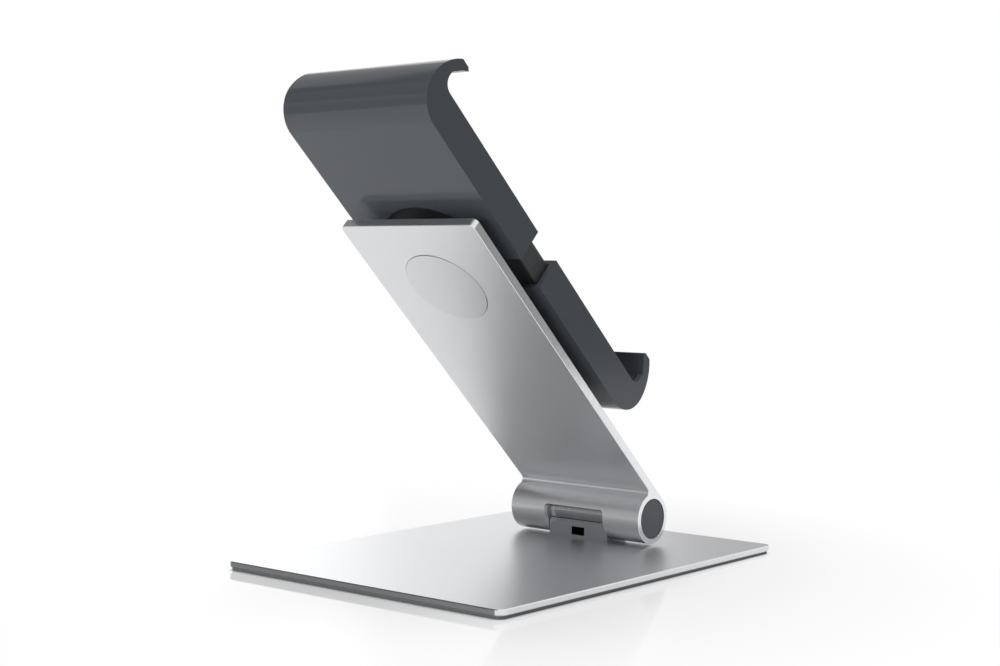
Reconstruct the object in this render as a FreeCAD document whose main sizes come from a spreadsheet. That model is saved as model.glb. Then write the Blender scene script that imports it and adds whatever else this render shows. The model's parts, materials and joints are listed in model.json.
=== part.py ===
import FreeCAD, Part
import Sketcher
import math
import os
import re

# Tablet desk stand, in millimetres.
# +X is across, +Z is up, and the screen side faces -Y. The origin is the centre of the foot pad's underside.
# A flat base carries a hinge block. A thin arm with a barrel along its lower edge tilts about the block's
# shaft. At the arm's top a swivel carries a holder, whose two hooked jaws slide apart, kept in step by two
# racks and a pinion.

# Driving sizes: name, value, meaning.
DRIVING_SIZES = (
    ("base_width", 155.0, "base plate, side to side"),
    ("base_depth", 195.0, "base plate, front to rear"),
    ("plate_thickness", 2.5, "base plate thickness"),
    ("base_corner_radius", 4.5, "base plate corners, seen from above"),
    ("plate_bevel", 0.35, "bright bevel along the plate's edges"),
    ("pad_thickness", 1.5, "foot pad thickness"),
    ("pad_inset", 1.0, "foot pad edge, in from the plate's edge"),
    ("axis_setback", 39.0, "tilt axis, back from the plate's front edge"),
    ("axis_height", 12.2, "tilt axis above the plate"),
    ("rest_tilt", 43.7, "angle of the arm above level, at rest"),
    ("arm_width", 74.6, "arm and barrel, side to side"),
    ("arm_length", 183.2, "tilt axis to the arm's top edge"),
    ("arm_thickness", 4.1, "arm thickness"),
    ("arm_corner_radius", 2.6, "arm's two top corners"),
    ("arm_bevel", 0.35, "bright bevel along the arm's edges"),
    ("barrel_radius", 11.5, "barrel, outside"),
    ("bore_radius", 9.2, "barrel, inside"),
    ("barrel_fillet", 2.2, "hollow between the arm's rear face and the barrel"),
    ("notch_width", 34.2, "notch in the barrel for the hinge block"),
    ("notch_rear_angle", 28.2, "notch's rear edge, below the arm's direction"),
    ("notch_front_angle", 110.3, "notch's front edge, above the arm's direction"),
    ("shaft_radius", 7.5, "hinge shaft, outside"),
    ("shaft_bore_radius", 3.0, "hinge shaft, inside"),
    ("running_clearance", 0.05, "radial play of each running fit"),
    ("bush_end_gap", 0.9, "friction bush's end to the plug"),
    ("plug_recess", 0.3, "barrel plug, in from the barrel's end"),
    ("plug_depth", 5.0, "barrel plug, front to back"),
    ("plug_wall", 1.4, "barrel plug's face and skirt"),
    ("plug_clearance", 0.05, "radial play between the plug and the bore"),
    ("shaft_end_gap", 0.3, "hinge shaft's end to the plug's skirt"),
    ("block_depth", 15.0, "hinge block, front to rear"),
    ("block_height", 8.65, "hinge block above the plate"),
    ("block_side_gap", 0.2, "hinge block to each side of the notch"),
    ("block_slope_height", 1.9, "sloping top of the block's front and rear, top to bottom"),
    ("block_slope_depth", 0.8, "sloping top of the block's front and rear, inwards"),
    ("slot_width", 7.4, "lock slot, side to side"),
    ("slot_height", 3.8, "lock slot, top to bottom"),
    ("slot_centre_height", 3.4, "lock slot's centre above the plate"),
    ("slot_wall", 1.2, "hinge block's wall at the slot"),
    ("lock_plate_thickness", 1.2, "steel plate behind the slot"),
    ("lock_plate_margin", 2.2, "steel plate, beyond the slot's sides"),
    ("chamber_depth", 2.0, "room behind the slot, with the steel plate in it"),
    ("chamber_headroom", 0.2, "room above the slot"),
    ("foot_screw_radius", 2.0, "hinge screws"),
    ("foot_screw_length", 12.5, "hinge screws"),
    ("foot_screw_spacing", 20.0, "hinge screws, across"),
    ("screw_clearance", 0.25, "radial play of a screw in a plain hole"),
    ("pivot_reach", 145.3, "tilt axis to the swivel's centre"),
    ("cap_radius", 19.4, "round cap over the swivel"),
    ("cap_offset", 1.0, "cap's centre, up the arm from the swivel's centre"),
    ("cap_gap", 0.2, "cap to its recess"),
    ("cap_thickness", 0.8, "round cap"),
    ("clamp_radius", 17.0, "swivel's clamp plate"),
    ("clamp_gap", 0.5, "clamp plate to its recess"),
    ("clamp_thickness", 1.0, "swivel's clamp plate"),
    ("web_thickness", 1.3, "arm's web between the swivel's two sides"),
    ("washer_thickness", 0.3, "friction washer behind the web"),
    ("swivel_gap", 0.05, "play on each side of the web"),
    ("boss_radius", 11.0, "hub's boss through the arm"),
    ("ring_thickness", 0.5, "friction ring in front of the arm"),
    ("hub_radius", 26.5, "swivel hub"),
    ("hub_edge_round", 1.0, "swivel hub's edge"),
    ("clamp_screw_radius", 1.5, "clamp plate's screws"),
    ("clamp_screw_circle", 7.5, "clamp plate's screws, from the swivel's centre"),
    ("clamp_screw_head", 0.5, "clamp plate's screws, head height"),
    ("clamp_screw_length", 6.5, "clamp plate's screws"),
    ("holder_gap", 5.4, "arm's front face to the jaws' rear faces"),
    ("jaw_width", 80.0, "jaws, side to side"),
    ("jaw_thickness", 15.7, "jaws, rear face to front face"),
    ("jaw_wall", 2.1, "jaws' rear and front walls"),
    ("jaw_side_wall", 2.7, "jaws' side walls"),
    ("jaw_end_wall", 9.5, "jaws' outer end, solid"),
    ("jaw_edge_round", 0.9, "jaws' rear side edges"),
    ("rest_opening", 8.3, "each jaw, out from the closed place, at rest"),
    ("closing_gap", 0.2, "each jaw's closing edge to the middle when closed"),
    ("outer_round", 14.0, "jaws' outer end, rear round"),
    ("hook_back_radius", 23.3, "jaws' outer end, back of the hook"),
    ("hook_height", 15.4, "hook, out from the front face"),
    ("throat_reach", 81.3, "closing edge to the bottom of the hook's throat"),
    ("hook_wall", 6.7, "bottom of the throat to the jaw's outer end"),
    ("throat_radius", 5.0, "round at the bottom of the throat"),
    ("throat_wall", 2.0, "straight part of the throat"),
    ("lip_overhang", 4.0, "lip's inner side, over the screen's edge"),
    ("lip_height", 12.3, "lip's inner side, out from the front face"),
    ("tip_overhang", 6.3, "lip's tip, over the screen's edge"),
    ("tip_bevel", 1.2, "lip's tip"),
    ("hub_recess_radius", 30.7, "half-round recess in each jaw for the hub"),
    ("liner_thickness", 0.8, "rubber liner in the throat"),
    ("liner_side_inset", 3.0, "rubber liner, in from the jaw's sides"),
    ("liner_run", 5.0, "rubber liner, along the front face"),
    ("face_pad_thickness", 1.0, "rubber pad on the front face"),
    ("face_pad_seat", 0.6, "depth of the rubber pad's seat"),
    ("face_pad_side_inset", 6.0, "rubber pad, in from the jaw's sides"),
    ("face_pad_end_inset", 6.0, "rubber pad, in from the closing edge"),
    ("face_pad_length", 58.0, "rubber pad"),
    ("face_pad_corner", 3.0, "rubber pad's corners"),
    ("slide_clearance", 0.3, "carrier to the jaws, all round"),
    ("carrier_length", 132.0, "carrier, end to end"),
    ("carrier_wall", 2.0, "carrier's walls, floor and cover"),
    ("carrier_edge_round", 1.4, "carrier's long edges"),
    ("post_radius", 3.0, "posts for the cover's screws"),
    ("post_inset_across", 5.5, "posts, in from the carrier's sides"),
    ("post_inset_along", 8.0, "posts, in from the carrier's ends"),
    ("cover_screw_radius", 1.25, "cover's screws"),
    ("cover_screw_length", 6.0, "cover's screws"),
    ("hub_screw_radius", 1.5, "screws from the carrier into the hub"),
    ("hub_screw_length", 6.5, "screws from the carrier into the hub"),
    ("hub_screw_across", 38.0, "hub screws, across"),
    ("hub_screw_along", 20.0, "hub screws, along the holder"),
    ("gear_module", 1.0, "pinion and racks"),
    ("pinion_teeth", 14.0, "pinion"),
    ("gear_width", 4.0, "pinion and racks"),
    ("gear_lift", 1.2, "pinion and racks above the carrier's floor"),
    ("gear_backlash", 0.2, "play between the teeth"),
    ("rack_height", 6.0, "rack, pitch line to back"),
    ("rack_tail", 38.0, "rack, from the closing edge inwards"),
    ("rib_gap", 0.3, "guide rib to the rack's back"),
    ("foot_width", 20.0, "rack's foot, across"),
    ("foot_length", 10.0, "rack's foot, along the jaw"),
    ("foot_end_gap", 0.5, "rack's foot to the end of the jaw's hollow"),
    ("rack_screw_radius", 1.25, "screws from the jaw into the rack's foot"),
    ("rack_screw_length", 6.0, "screws from the jaw into the rack's foot"),
    ("rack_screw_spacing", 10.0, "screws from the jaw into the rack's foot, across"),
    ("pin_radius", 2.5, "pinion's pin"),
    ("spring_washer_radius", 5.0, "spring washer under the pinion"),
    ("spring_washer_thickness", 0.5, "spring washer under the pinion"),
)

# Places that follow from the driving sizes. Those in the arm's frame run along the arm from the tilt axis,
# and out of its front face.
PLATE_TOP = "(pad_thickness + plate_thickness)"
AXIS_PLACE = ("0", "(axis_setback - base_depth / 2)", f"({PLATE_TOP} + axis_height)")
ARM_REAR = "(barrel_radius - arm_thickness)"
WEB_REAR = "(barrel_radius - web_thickness)"
WASHER_REAR = f"({WEB_REAR} - swivel_gap - washer_thickness)"
CLAMP_REAR = f"({WASHER_REAR} - clamp_thickness)"
HUB_REAR = "(barrel_radius + swivel_gap + ring_thickness)"
JAW_REAR = "(barrel_radius + holder_gap)"
JAW_FRONT = f"({JAW_REAR} + jaw_thickness)"
HOLLOW_REAR = f"({JAW_REAR} + jaw_wall)"
HOLLOW_FRONT = f"({JAW_FRONT} - jaw_wall)"
JAW_LENGTH = "(throat_reach + hook_wall)"
HOLLOW_END = f"({JAW_LENGTH} - jaw_end_wall)"
HOLLOW_HALF_WIDTH = "(jaw_width / 2 - jaw_side_wall)"
CARRIER_REAR = f"({HOLLOW_REAR} + slide_clearance)"
CARRIER_FRONT = f"({HOLLOW_FRONT} - slide_clearance)"
CARRIER_HALF_WIDTH = f"({HOLLOW_HALF_WIDTH} - slide_clearance)"
CARRIER_FLOOR = f"({CARRIER_REAR} + carrier_wall)"
COVER_REAR = f"({CARRIER_FRONT} - carrier_wall)"
GEAR_REAR = f"({CARRIER_FLOOR} + gear_lift)"
PITCH_RADIUS = "(gear_module * pinion_teeth / 2)"
RACK_BACK = f"({PITCH_RADIUS} + rack_height)"
BLOCK_WIDTH = "(notch_width - 2 * block_side_gap)"
SLOT_TOP = "(slot_centre_height + slot_height / 2 + chamber_headroom)"
SHAFT_HALF_LENGTH = "(arm_width / 2 - plug_recess - plug_depth - shaft_end_gap)"
BUSH_LENGTH = "(arm_width / 2 - plug_recess - plug_depth - bush_end_gap - notch_width / 2)"
CAP_CENTRE = ("0", "(pivot_reach + cap_offset)")

DOCUMENT = FreeCAD.newDocument("tablet_desk_stand")
SIZES = DOCUMENT.addObject("Spreadsheet::Sheet", "Sizes")


def fill_sheet():
    """Write every driving size into the sheet, with its name as the cell's alias."""
    for row, (name, value, meaning) in enumerate(DRIVING_SIZES, start=1):
        SIZES.set(f"A{row}", meaning)
        SIZES.set(f"B{row}", str(value))
        SIZES.setAlias(f"B{row}", name)
    DOCUMENT.recompute()


def formula(text):
    """Turn a formula of size names into an expression on the sheet."""
    return re.sub(r"\b[a-z]+(?:_[a-z]+)+\b", r"Sizes.\g<0>", text)


def size(text):
    """Work out a formula of size names."""
    return float(SIZES.evalExpression(formula(text)))


def placed(place=("0", "0", "0"), axis="0; 0; 1", angle="0"):
    """Expression of a placement: a shift, and a turn in degrees about an axis."""
    shift = "; ".join(place)
    turn = f"create(<<rotation>>; create(<<vector>>; {axis}); {angle})"
    return f"create(<<placement>>; create(<<vector>>; {shift}); {turn})"


HALF_TURN = placed(angle="180")
HINGE_FRAME = placed(AXIS_PLACE)
ARM_FRAME = placed(AXIS_PLACE, "1; 0; 0", "rest_tilt")
ARM_FRAME_TURNED = f"{ARM_FRAME} * {placed(axis='0; 0; 1', angle='180')}"
HOLDER_FRAME = f"{ARM_FRAME} * {placed(('0', 'pivot_reach', '0'))}"
UPPER_JAW_FRAME = f"{HOLDER_FRAME} * {placed(('0', 'rest_opening', '0'))}"
LOWER_JAW_FRAME = f"{HOLDER_FRAME} * {HALF_TURN} * {placed(('0', 'rest_opening', '0'))}"


# Tools for bodies, sketches and features

def new_body(label, frame=None):
    """Start a body that stands in a frame."""
    owner = DOCUMENT.addObject("PartDesign::Body", label)
    owner.Label = label
    if frame:
        owner.setExpression("Placement", formula(frame))
    return owner


def new_solid(label, shape, frame):
    """Keep a finished shape as a sub-part that stands in a frame."""
    owner = DOCUMENT.addObject("Part::Feature", label)
    owner.Label = label
    owner.Shape = shape
    owner.setExpression("Placement", formula(frame))
    return owner


def sketch_on(owner, name, role, lift="0"):
    """Start a sketch on one of the body's origin planes, lifted along the plane's normal."""
    plane = next(item for item in owner.Origin.OriginFeatures if item.Role == role)
    sketch = owner.newObject("Sketcher::SketchObject", name)
    sketch.AttachmentSupport = (plane, [""])
    sketch.MapMode = "FlatFace"
    sketch.setExpression("AttachmentOffset.Base.z", formula(lift))
    return sketch


def bind(sketch, kind, references, text):
    """Add a sketch dimension that follows a formula."""
    index = sketch.addConstraint(Sketcher.Constraint(kind, *references, size(text)))
    sketch.setExpression(f"Constraints[{index}]", formula(text))


def bind_point(sketch, curve, end, point):
    """Hold one end of a curve at a point given by two formulas."""
    bind(sketch, "DistanceX", (-1, 1, curve, end), point[0])
    bind(sketch, "DistanceY", (-1, 1, curve, end), point[1])


def add_circle(sketch, radius, centre=("0", "0")):
    """Draw a circle."""
    middle = FreeCAD.Vector(size(centre[0]), size(centre[1]), 0)
    curve = sketch.addGeometry(Part.Circle(middle, FreeCAD.Vector(0, 0, 1), size(radius)), False)
    bind(sketch, "Radius", (curve,), radius)
    bind_point(sketch, curve, 3, centre)


def short_arc(start, end, radius, turn):
    """Arc under a half circle from start to end: turn 1 goes anticlockwise, -1 clockwise."""
    chord = end.sub(start)
    to_left = FreeCAD.Vector(-chord.y, chord.x, 0).normalize()
    rise = math.sqrt(radius ** 2 - (chord.Length / 2) ** 2)
    centre = start.add(chord * 0.5).add(to_left * (rise * turn))
    first, last = (start, end) if turn > 0 else (end, start)
    angles = [math.atan2(spot.y - centre.y, spot.x - centre.x) for spot in (first, last)]
    return Part.ArcOfCircle(Part.Circle(centre, FreeCAD.Vector(0, 0, 1), radius), *angles)


def add_outline(sketch, *corners):
    """Draw a closed outline. A corner is (x, y), or (x, y, radius, turn) where an arc leads to it."""
    spots = [FreeCAD.Vector(size(corner[0]), size(corner[1]), 0) for corner in corners]
    pieces = []
    for index, corner in enumerate(corners):
        before = spots[index - 1]
        here = spots[index]
        if len(corner) == 2:
            curve = sketch.addGeometry(Part.LineSegment(before, here), False)
            pieces.append((curve, 1, 2))
        else:
            radius, turn = corner[2:]
            curve = sketch.addGeometry(short_arc(before, here, size(radius), turn), False)
            bind(sketch, "Radius", (curve,), radius)
            pieces.append((curve, 1, 2) if turn > 0 else (curve, 2, 1))
    for index, (curve, _, far_end) in enumerate(pieces):
        following, near_end, _ = pieces[(index + 1) % len(pieces)]
        sketch.addConstraint(Sketcher.Constraint("Coincident", curve, far_end, following, near_end))
        bind_point(sketch, curve, far_end, corners[index][:2])


def add_rectangle(sketch, low, high):
    """Draw a rectangle between two corners."""
    add_outline(sketch, low, (high[0], low[1]), high, (low[0], high[1]))


def pad(owner, name, sketch, length, both_ways=False, backwards=False):
    """Raise a sketch into material."""
    feature = owner.newObject("PartDesign::Pad", name)
    feature.Profile = sketch
    feature.setExpression("Length", formula(length))
    feature.SideType = "Symmetric" if both_ways else "One side"
    feature.Reversed = backwards
    DOCUMENT.recompute()
    return feature


def pocket(owner, name, sketch, length, both_ways=False, forwards=False, taper=0.0):
    """Cut a sketch out of the body, against the sketch's normal unless forwards."""
    before = owner.Shape.Volume
    feature = owner.newObject("PartDesign::Pocket", name)
    feature.Profile = sketch
    feature.setExpression("Length", formula(length))
    feature.SideType = "Symmetric" if both_ways else "One side"
    feature.Reversed = forwards
    feature.TaperAngle = taper
    DOCUMENT.recompute()
    if not owner.Shape.Volume < before - 1e-4:
        raise RuntimeError(f"{owner.Label}: {name} cuts nothing")
    return feature


def turned(owner, name, sketch):
    """Turn a sketch a full circle about its upright axis."""
    feature = owner.newObject("PartDesign::Revolution", name)
    feature.Profile = sketch
    feature.ReferenceAxis = (sketch, ["V_Axis"])
    feature.Angle = 360.0
    DOCUMENT.recompute()
    return feature


def lies_at(edge, x=None, y=None, z=None):
    """True where the whole edge lies at the given places. The sign of x doesn't count."""
    box = edge.BoundBox
    middle = box.Center
    spans = ((x, abs(middle.x), box.XLength), (y, middle.y, box.YLength), (z, middle.z, box.ZLength))
    return all(length < 0.01 and abs(found - wanted) < 0.01
               for wanted, found, length in spans if wanted is not None)


def dress_edges(owner, kind, name, property_name, amount, wanted):
    """Round or bevel the edges of the body that a test picks."""
    base = owner.Tip
    names = [f"Edge{index}" for index, edge in enumerate(base.Shape.Edges, start=1) if wanted(edge)]
    if not names:
        raise RuntimeError(f"{owner.Label}: {name} finds no edge")
    feature = owner.newObject(kind, name)
    feature.Base = (base, names)
    feature.setExpression(property_name, formula(amount))
    DOCUMENT.recompute()
    return feature


def round_edges(owner, name, radius, wanted):
    """Round the edges that a test picks."""
    return dress_edges(owner, "PartDesign::Fillet", name, "Radius", radius, wanted)


def bevel_edges(owner, name, amount, wanted):
    """Bevel the edges that a test picks."""
    return dress_edges(owner, "PartDesign::Chamfer", name, "Size", amount, wanted)


def drilled(owner, name, lift, radius, centres, depth, forwards=False):
    """Drill holes of one size, square to the body's XY plane."""
    sketch = sketch_on(owner, f"{name}_sketch", "XY_Plane", lift)
    for centre in centres:
        add_circle(sketch, radius, centre)
    return pocket(owner, name, sketch, depth, forwards=forwards)


def countersunk(owner, name, lift, shank_radius, centres, forwards=False):
    """Sink conical seats for screw heads twice as wide as their shanks."""
    sketch = sketch_on(owner, f"{name}_sketch", "XY_Plane", lift)
    for centre in centres:
        add_circle(sketch, f"(2 * {shank_radius})", centre)
    return pocket(owner, name, sketch, shank_radius, forwards=forwards, taper=-45.0)


def mirrored_centres(across, along):
    """The four points at plus and minus half of each spacing."""
    return [(f"{side} * {across} / 2", f"{end} * {along} / 2") for side in (-1, 1) for end in (-1, 1)]


# Screws

def countersunk_screw(radius, length):
    """Screw with a conical head whose flat lies at z = 0 and whose shank runs down."""
    head = Part.makeCone(radius, 2 * radius, radius, FreeCAD.Vector(0, 0, -radius))
    shank = Part.makeCylinder(radius, length - radius, FreeCAD.Vector(0, 0, -length))
    return head.fuse(shank).cut(drive_recess(radius, 0.6 * radius)).removeSplitter()


def pan_screw(radius, length, head_height):
    """Screw with a flat round head standing on z = 0 and a shank that runs down."""
    head = Part.makeCylinder(1.9 * radius, head_height)
    shank = Part.makeCylinder(radius, length, FreeCAD.Vector(0, 0, -length))
    recess = drive_recess(radius, 0.6 * head_height)
    recess.translate(FreeCAD.Vector(0, 0, head_height))
    return head.fuse(shank).cut(recess).removeSplitter()


def drive_recess(radius, depth):
    """Six-sided recess below z = 0, to cut out of a screw's head."""
    corners = [FreeCAD.Vector(0.9 * radius * math.cos(math.radians(60 * step)),
                              0.9 * radius * math.sin(math.radians(60 * step)), -depth) for step in range(7)]
    return Part.Face(Part.makePolygon(corners)).extrude(FreeCAD.Vector(0, 0, 2 * depth))


def screw_group(label, screw, centres, height, frame, upside_down=False):
    """Identical screws at several centres, as one sub-part."""
    copies = []
    for across, along in centres:
        one = screw.copy()
        if upside_down:
            one.rotate(FreeCAD.Vector(0, 0, 0), FreeCAD.Vector(1, 0, 0), 180)
        one.translate(FreeCAD.Vector(size(across), size(along), size(height)))
        copies.append(one)
    return new_solid(label, Part.makeCompound(copies), frame)


# Base

FOOT_SCREW_CENTRES = [("-1 * foot_screw_spacing / 2", "0"), ("foot_screw_spacing / 2", "0")]


def base_plate():
    """Flat plate with rounded corners, bevelled edges and two countersunk holes under the hinge block."""
    owner = new_body("base_plate")
    outline = sketch_on(owner, "plate_outline", "XY_Plane", "pad_thickness")
    add_rectangle(outline, ("-1 * base_width / 2", "-1 * base_depth / 2"),
                  ("base_width / 2", "base_depth / 2"))
    pad(owner, "plate", outline, "plate_thickness")
    half_width = size("base_width / 2")
    half_depth = size("base_depth / 2")
    round_edges(owner, "corners", "base_corner_radius",
                lambda edge: lies_at(edge, x=half_width) and abs(edge.BoundBox.YLength) < 0.01)
    faces = (size("pad_thickness"), size(PLATE_TOP))
    bevel_edges(owner, "bevels", "plate_bevel",
                lambda edge: any(lies_at(edge, z=face) for face in faces)
                and (abs(edge.CenterOfMass.x) > half_width - 5 or abs(edge.CenterOfMass.y) > half_depth - 5))
    centres = [(across, AXIS_PLACE[1]) for across, _ in FOOT_SCREW_CENTRES]
    drilled(owner, "screw_holes", "pad_thickness", "(foot_screw_radius + screw_clearance)", centres,
            "plate_thickness", forwards=True)
    countersunk(owner, "screw_seats", "pad_thickness", "foot_screw_radius", centres, forwards=True)
    return owner


def base_pad():
    """Thin non-slip pad under the whole plate."""
    owner = new_body("base_pad")
    outline = sketch_on(owner, "pad_outline", "XY_Plane")
    half_width = "(base_width / 2 - pad_inset)"
    half_depth = "(base_depth / 2 - pad_inset)"
    add_rectangle(outline, (f"-1 * {half_width}", f"-1 * {half_depth}"), (half_width, half_depth))
    pad(owner, "pad", outline, "pad_thickness")
    round_edges(owner, "corners", "(base_corner_radius - pad_inset)",
                lambda edge: lies_at(edge, x=size(half_width)) and abs(edge.BoundBox.YLength) < 0.01)
    return owner


def hinge_block():
    """Block on the plate, hollowed to seat the shaft, with a lock slot in its rear face."""
    owner = new_body("hinge_block", HINGE_FRAME)
    section = sketch_on(owner, "block_section", "YZ_Plane")
    top = "(block_height - axis_height)"
    shoulder = f"({top} - block_slope_height)"
    top_half_depth = "(block_depth / 2 - block_slope_depth)"
    add_outline(section, ("block_depth / 2", "-1 * axis_height"), ("block_depth / 2", shoulder),
                (top_half_depth, top), (f"-1 * {top_half_depth}", top),
                ("-1 * block_depth / 2", shoulder), ("-1 * block_depth / 2", "-1 * axis_height"))
    pad(owner, "block", section, BLOCK_WIDTH, both_ways=True)
    seat = sketch_on(owner, "shaft_seat", "YZ_Plane")
    add_circle(seat, "shaft_radius")
    pocket(owner, "seat", seat, BLOCK_WIDTH, both_ways=True)
    chamber = sketch_on(owner, "chamber_outline", "XY_Plane", "-1 * axis_height")
    chamber_front = "(block_depth / 2 - slot_wall - chamber_depth)"
    chamber_half_width = "(slot_width / 2 + lock_plate_margin)"
    add_rectangle(chamber, (f"-1 * {chamber_half_width}", chamber_front),
                  (chamber_half_width, "(block_depth / 2 - slot_wall)"))
    pocket(owner, "chamber", chamber, SLOT_TOP, forwards=True)
    slot = sketch_on(owner, "slot_outline", "XZ_Plane", "-1 * block_depth / 2")
    add_rectangle(slot, *slot_corners())
    pocket(owner, "slot", slot, "slot_wall", forwards=True)
    drilled(owner, "screw_holes", "-1 * axis_height", "(foot_screw_radius + screw_clearance)",
            FOOT_SCREW_CENTRES, "block_height", forwards=True)
    return owner


def slot_corners():
    """Low and high corner of the lock slot, seen from the rear."""
    return (("-1 * slot_width / 2", "(slot_centre_height - slot_height / 2 - axis_height)"),
            ("slot_width / 2", "(slot_centre_height + slot_height / 2 - axis_height)"))


def lock_plate():
    """Steel plate behind the lock slot, which carries the pull of a lock."""
    owner = new_body("lock_plate", HINGE_FRAME)
    outline = sketch_on(owner, "plate_outline", "XZ_Plane", "(slot_wall - block_depth / 2)")
    half_width = "(slot_width / 2 + lock_plate_margin)"
    add_rectangle(outline, (f"-1 * {half_width}", "-1 * axis_height"),
                  (half_width, f"({SLOT_TOP} - axis_height)"))
    add_rectangle(outline, *slot_corners())
    pad(owner, "plate", outline, "lock_plate_thickness")
    return owner


def hinge_shaft():
    """Fixed steel tube that the arm tilts about, tapped from below for the two hinge screws."""
    owner = new_body("hinge_shaft", HINGE_FRAME)
    section = sketch_on(owner, "tube_section", "YZ_Plane")
    add_circle(section, "shaft_radius")
    add_circle(section, "shaft_bore_radius")
    pad(owner, "tube", section, f"(2 * {SHAFT_HALF_LENGTH})", both_ways=True)
    drilled(owner, "screw_holes", "0", "foot_screw_radius", FOOT_SCREW_CENTRES, "shaft_radius")
    return owner


def hinge_screws():
    """Two countersunk screws up through the plate and the block into the shaft."""
    screw = countersunk_screw(size("foot_screw_radius"), size("foot_screw_length"))
    return screw_group("hinge_screws", screw, FOOT_SCREW_CENTRES, "(0 - axis_height - plate_thickness)",
                       HINGE_FRAME, upside_down=True)


# Arm

def arm():
    """Flat arm with a barrel along its lower edge, notched for the hinge block."""
    owner = new_body("arm", ARM_FRAME)
    barrel = sketch_on(owner, "barrel_section", "YZ_Plane")
    add_circle(barrel, "barrel_radius")
    pad(owner, "barrel", barrel, "arm_width", both_ways=True)
    blade = sketch_on(owner, "blade_section", "YZ_Plane")
    add_rectangle(blade, ("0", ARM_REAR), ("arm_length", "barrel_radius"))
    pad(owner, "blade", blade, "arm_width", both_ways=True)
    rear = size(ARM_REAR)
    root = math.sqrt(size("barrel_radius") ** 2 - rear ** 2)
    round_edges(owner, "root_hollow", "barrel_fillet", lambda edge: lies_at(edge, y=root, z=rear))
    half_width = size("arm_width / 2")
    top = size("arm_length")
    round_edges(owner, "top_corners", "arm_corner_radius", lambda edge: lies_at(edge, x=half_width, y=top))
    corner = size("arm_corner_radius")
    bevel_edges(owner, "outline_bevels", "arm_bevel",
                lambda edge: lies_at(edge, x=half_width)
                or abs(edge.CenterOfMass.x) > half_width - corner and edge.BoundBox.ZLength < 0.01
                or any(lies_at(edge, y=top, z=face) for face in (rear, size("barrel_radius"))))
    bore = sketch_on(owner, "bore_section", "YZ_Plane")
    add_circle(bore, "bore_radius")
    pocket(owner, "bore", bore, "arm_width", both_ways=True)
    notch = sketch_on(owner, "notch_section", "YZ_Plane")
    reach = "(1.5 * barrel_radius)"
    add_outline(notch, ("0", "0"),
                (f"{reach} * cos(notch_rear_angle)", f"-1 * {reach} * sin(notch_rear_angle)"),
                (reach, f"-1 * {reach}"), (f"-1 * {reach}", f"-1 * {reach}"), (f"-1 * {reach}", reach),
                (f"{reach} * cos(notch_front_angle)", f"{reach} * sin(notch_front_angle)"))
    pocket(owner, "notch", notch, "notch_width", both_ways=True)
    pivot = [("0", "pivot_reach")]
    drilled(owner, "cap_recess", ARM_REAR, "(cap_radius + cap_gap)", [CAP_CENTRE], "cap_thickness",
            forwards=True)
    drilled(owner, "clamp_recess", ARM_REAR, "(clamp_radius + clamp_gap)", pivot,
            "(arm_thickness - web_thickness)", forwards=True)
    drilled(owner, "boss_hole", ARM_REAR, "(boss_radius + running_clearance)", pivot, "arm_thickness",
            forwards=True)
    return owner


def hinge_bush(label, frame):
    """Friction bush, pressed into the barrel and running on the shaft, flush with the notch."""
    owner = new_body(label, frame)
    section = sketch_on(owner, "bush_section", "YZ_Plane", "(notch_width / 2)")
    add_circle(section, "bore_radius")
    add_circle(section, "(shaft_radius + running_clearance)")
    pad(owner, "bush", section, BUSH_LENGTH)
    return owner


def end_plug(label, frame):
    """Cup-shaped plug that closes one end of the barrel."""
    owner = new_body(label, frame)
    outer = "(bore_radius - plug_clearance)"
    face = sketch_on(owner, "plug_face", "YZ_Plane", "(arm_width / 2 - plug_recess - plug_depth)")
    add_circle(face, outer)
    pad(owner, "plug", face, "plug_depth")
    hollow = sketch_on(owner, "plug_hollow", "YZ_Plane", "(arm_width / 2 - plug_recess - plug_depth)")
    add_circle(hollow, f"({outer} - plug_wall)")
    pocket(owner, "hollow", hollow, "(plug_depth - plug_wall)", forwards=True)
    return owner


def pivot_cap():
    """Round cap, flush with the arm's rear face, over the swivel's clamp plate."""
    owner = new_body("pivot_cap", ARM_FRAME)
    face = sketch_on(owner, "cap_outline", "XY_Plane", ARM_REAR)
    add_circle(face, "cap_radius", CAP_CENTRE)
    pad(owner, "cap", face, "cap_thickness")
    return owner


# Swivel

CLAMP_SCREW_CENTRES = [(f"(clamp_screw_circle * cos({angle}))", f"(clamp_screw_circle * sin({angle}))")
                       for angle in (90, 210, 330)]
HUB_SCREW_CENTRES = mirrored_centres("hub_screw_across", "hub_screw_along")


def flat_ring(label, frame, rear, thickness, outer, inner):
    """Flat ring about the swivel's axis."""
    owner = new_body(label, frame)
    face = sketch_on(owner, "ring_outline", "XY_Plane", rear)
    add_circle(face, outer)
    add_circle(face, inner)
    pad(owner, "ring", face, thickness)
    return owner


def swivel_clamp_plate():
    """Steel disc behind the arm's web, screwed to the hub's boss."""
    owner = new_body("swivel_clamp_plate", HOLDER_FRAME)
    face = sketch_on(owner, "plate_outline", "XY_Plane", CLAMP_REAR)
    add_circle(face, "clamp_radius")
    pad(owner, "plate", face, "clamp_thickness")
    drilled(owner, "screw_holes", CLAMP_REAR, "(clamp_screw_radius + screw_clearance)", CLAMP_SCREW_CENTRES,
            "clamp_thickness", forwards=True)
    return owner


def swivel_clamp_screws():
    """Three low-headed screws from the clamp plate into the hub's boss."""
    screw = pan_screw(size("clamp_screw_radius"), size("clamp_screw_length"), size("clamp_screw_head"))
    return screw_group("swivel_clamp_screws", screw, CLAMP_SCREW_CENTRES, CLAMP_REAR, HOLDER_FRAME,
                       upside_down=True)


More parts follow.
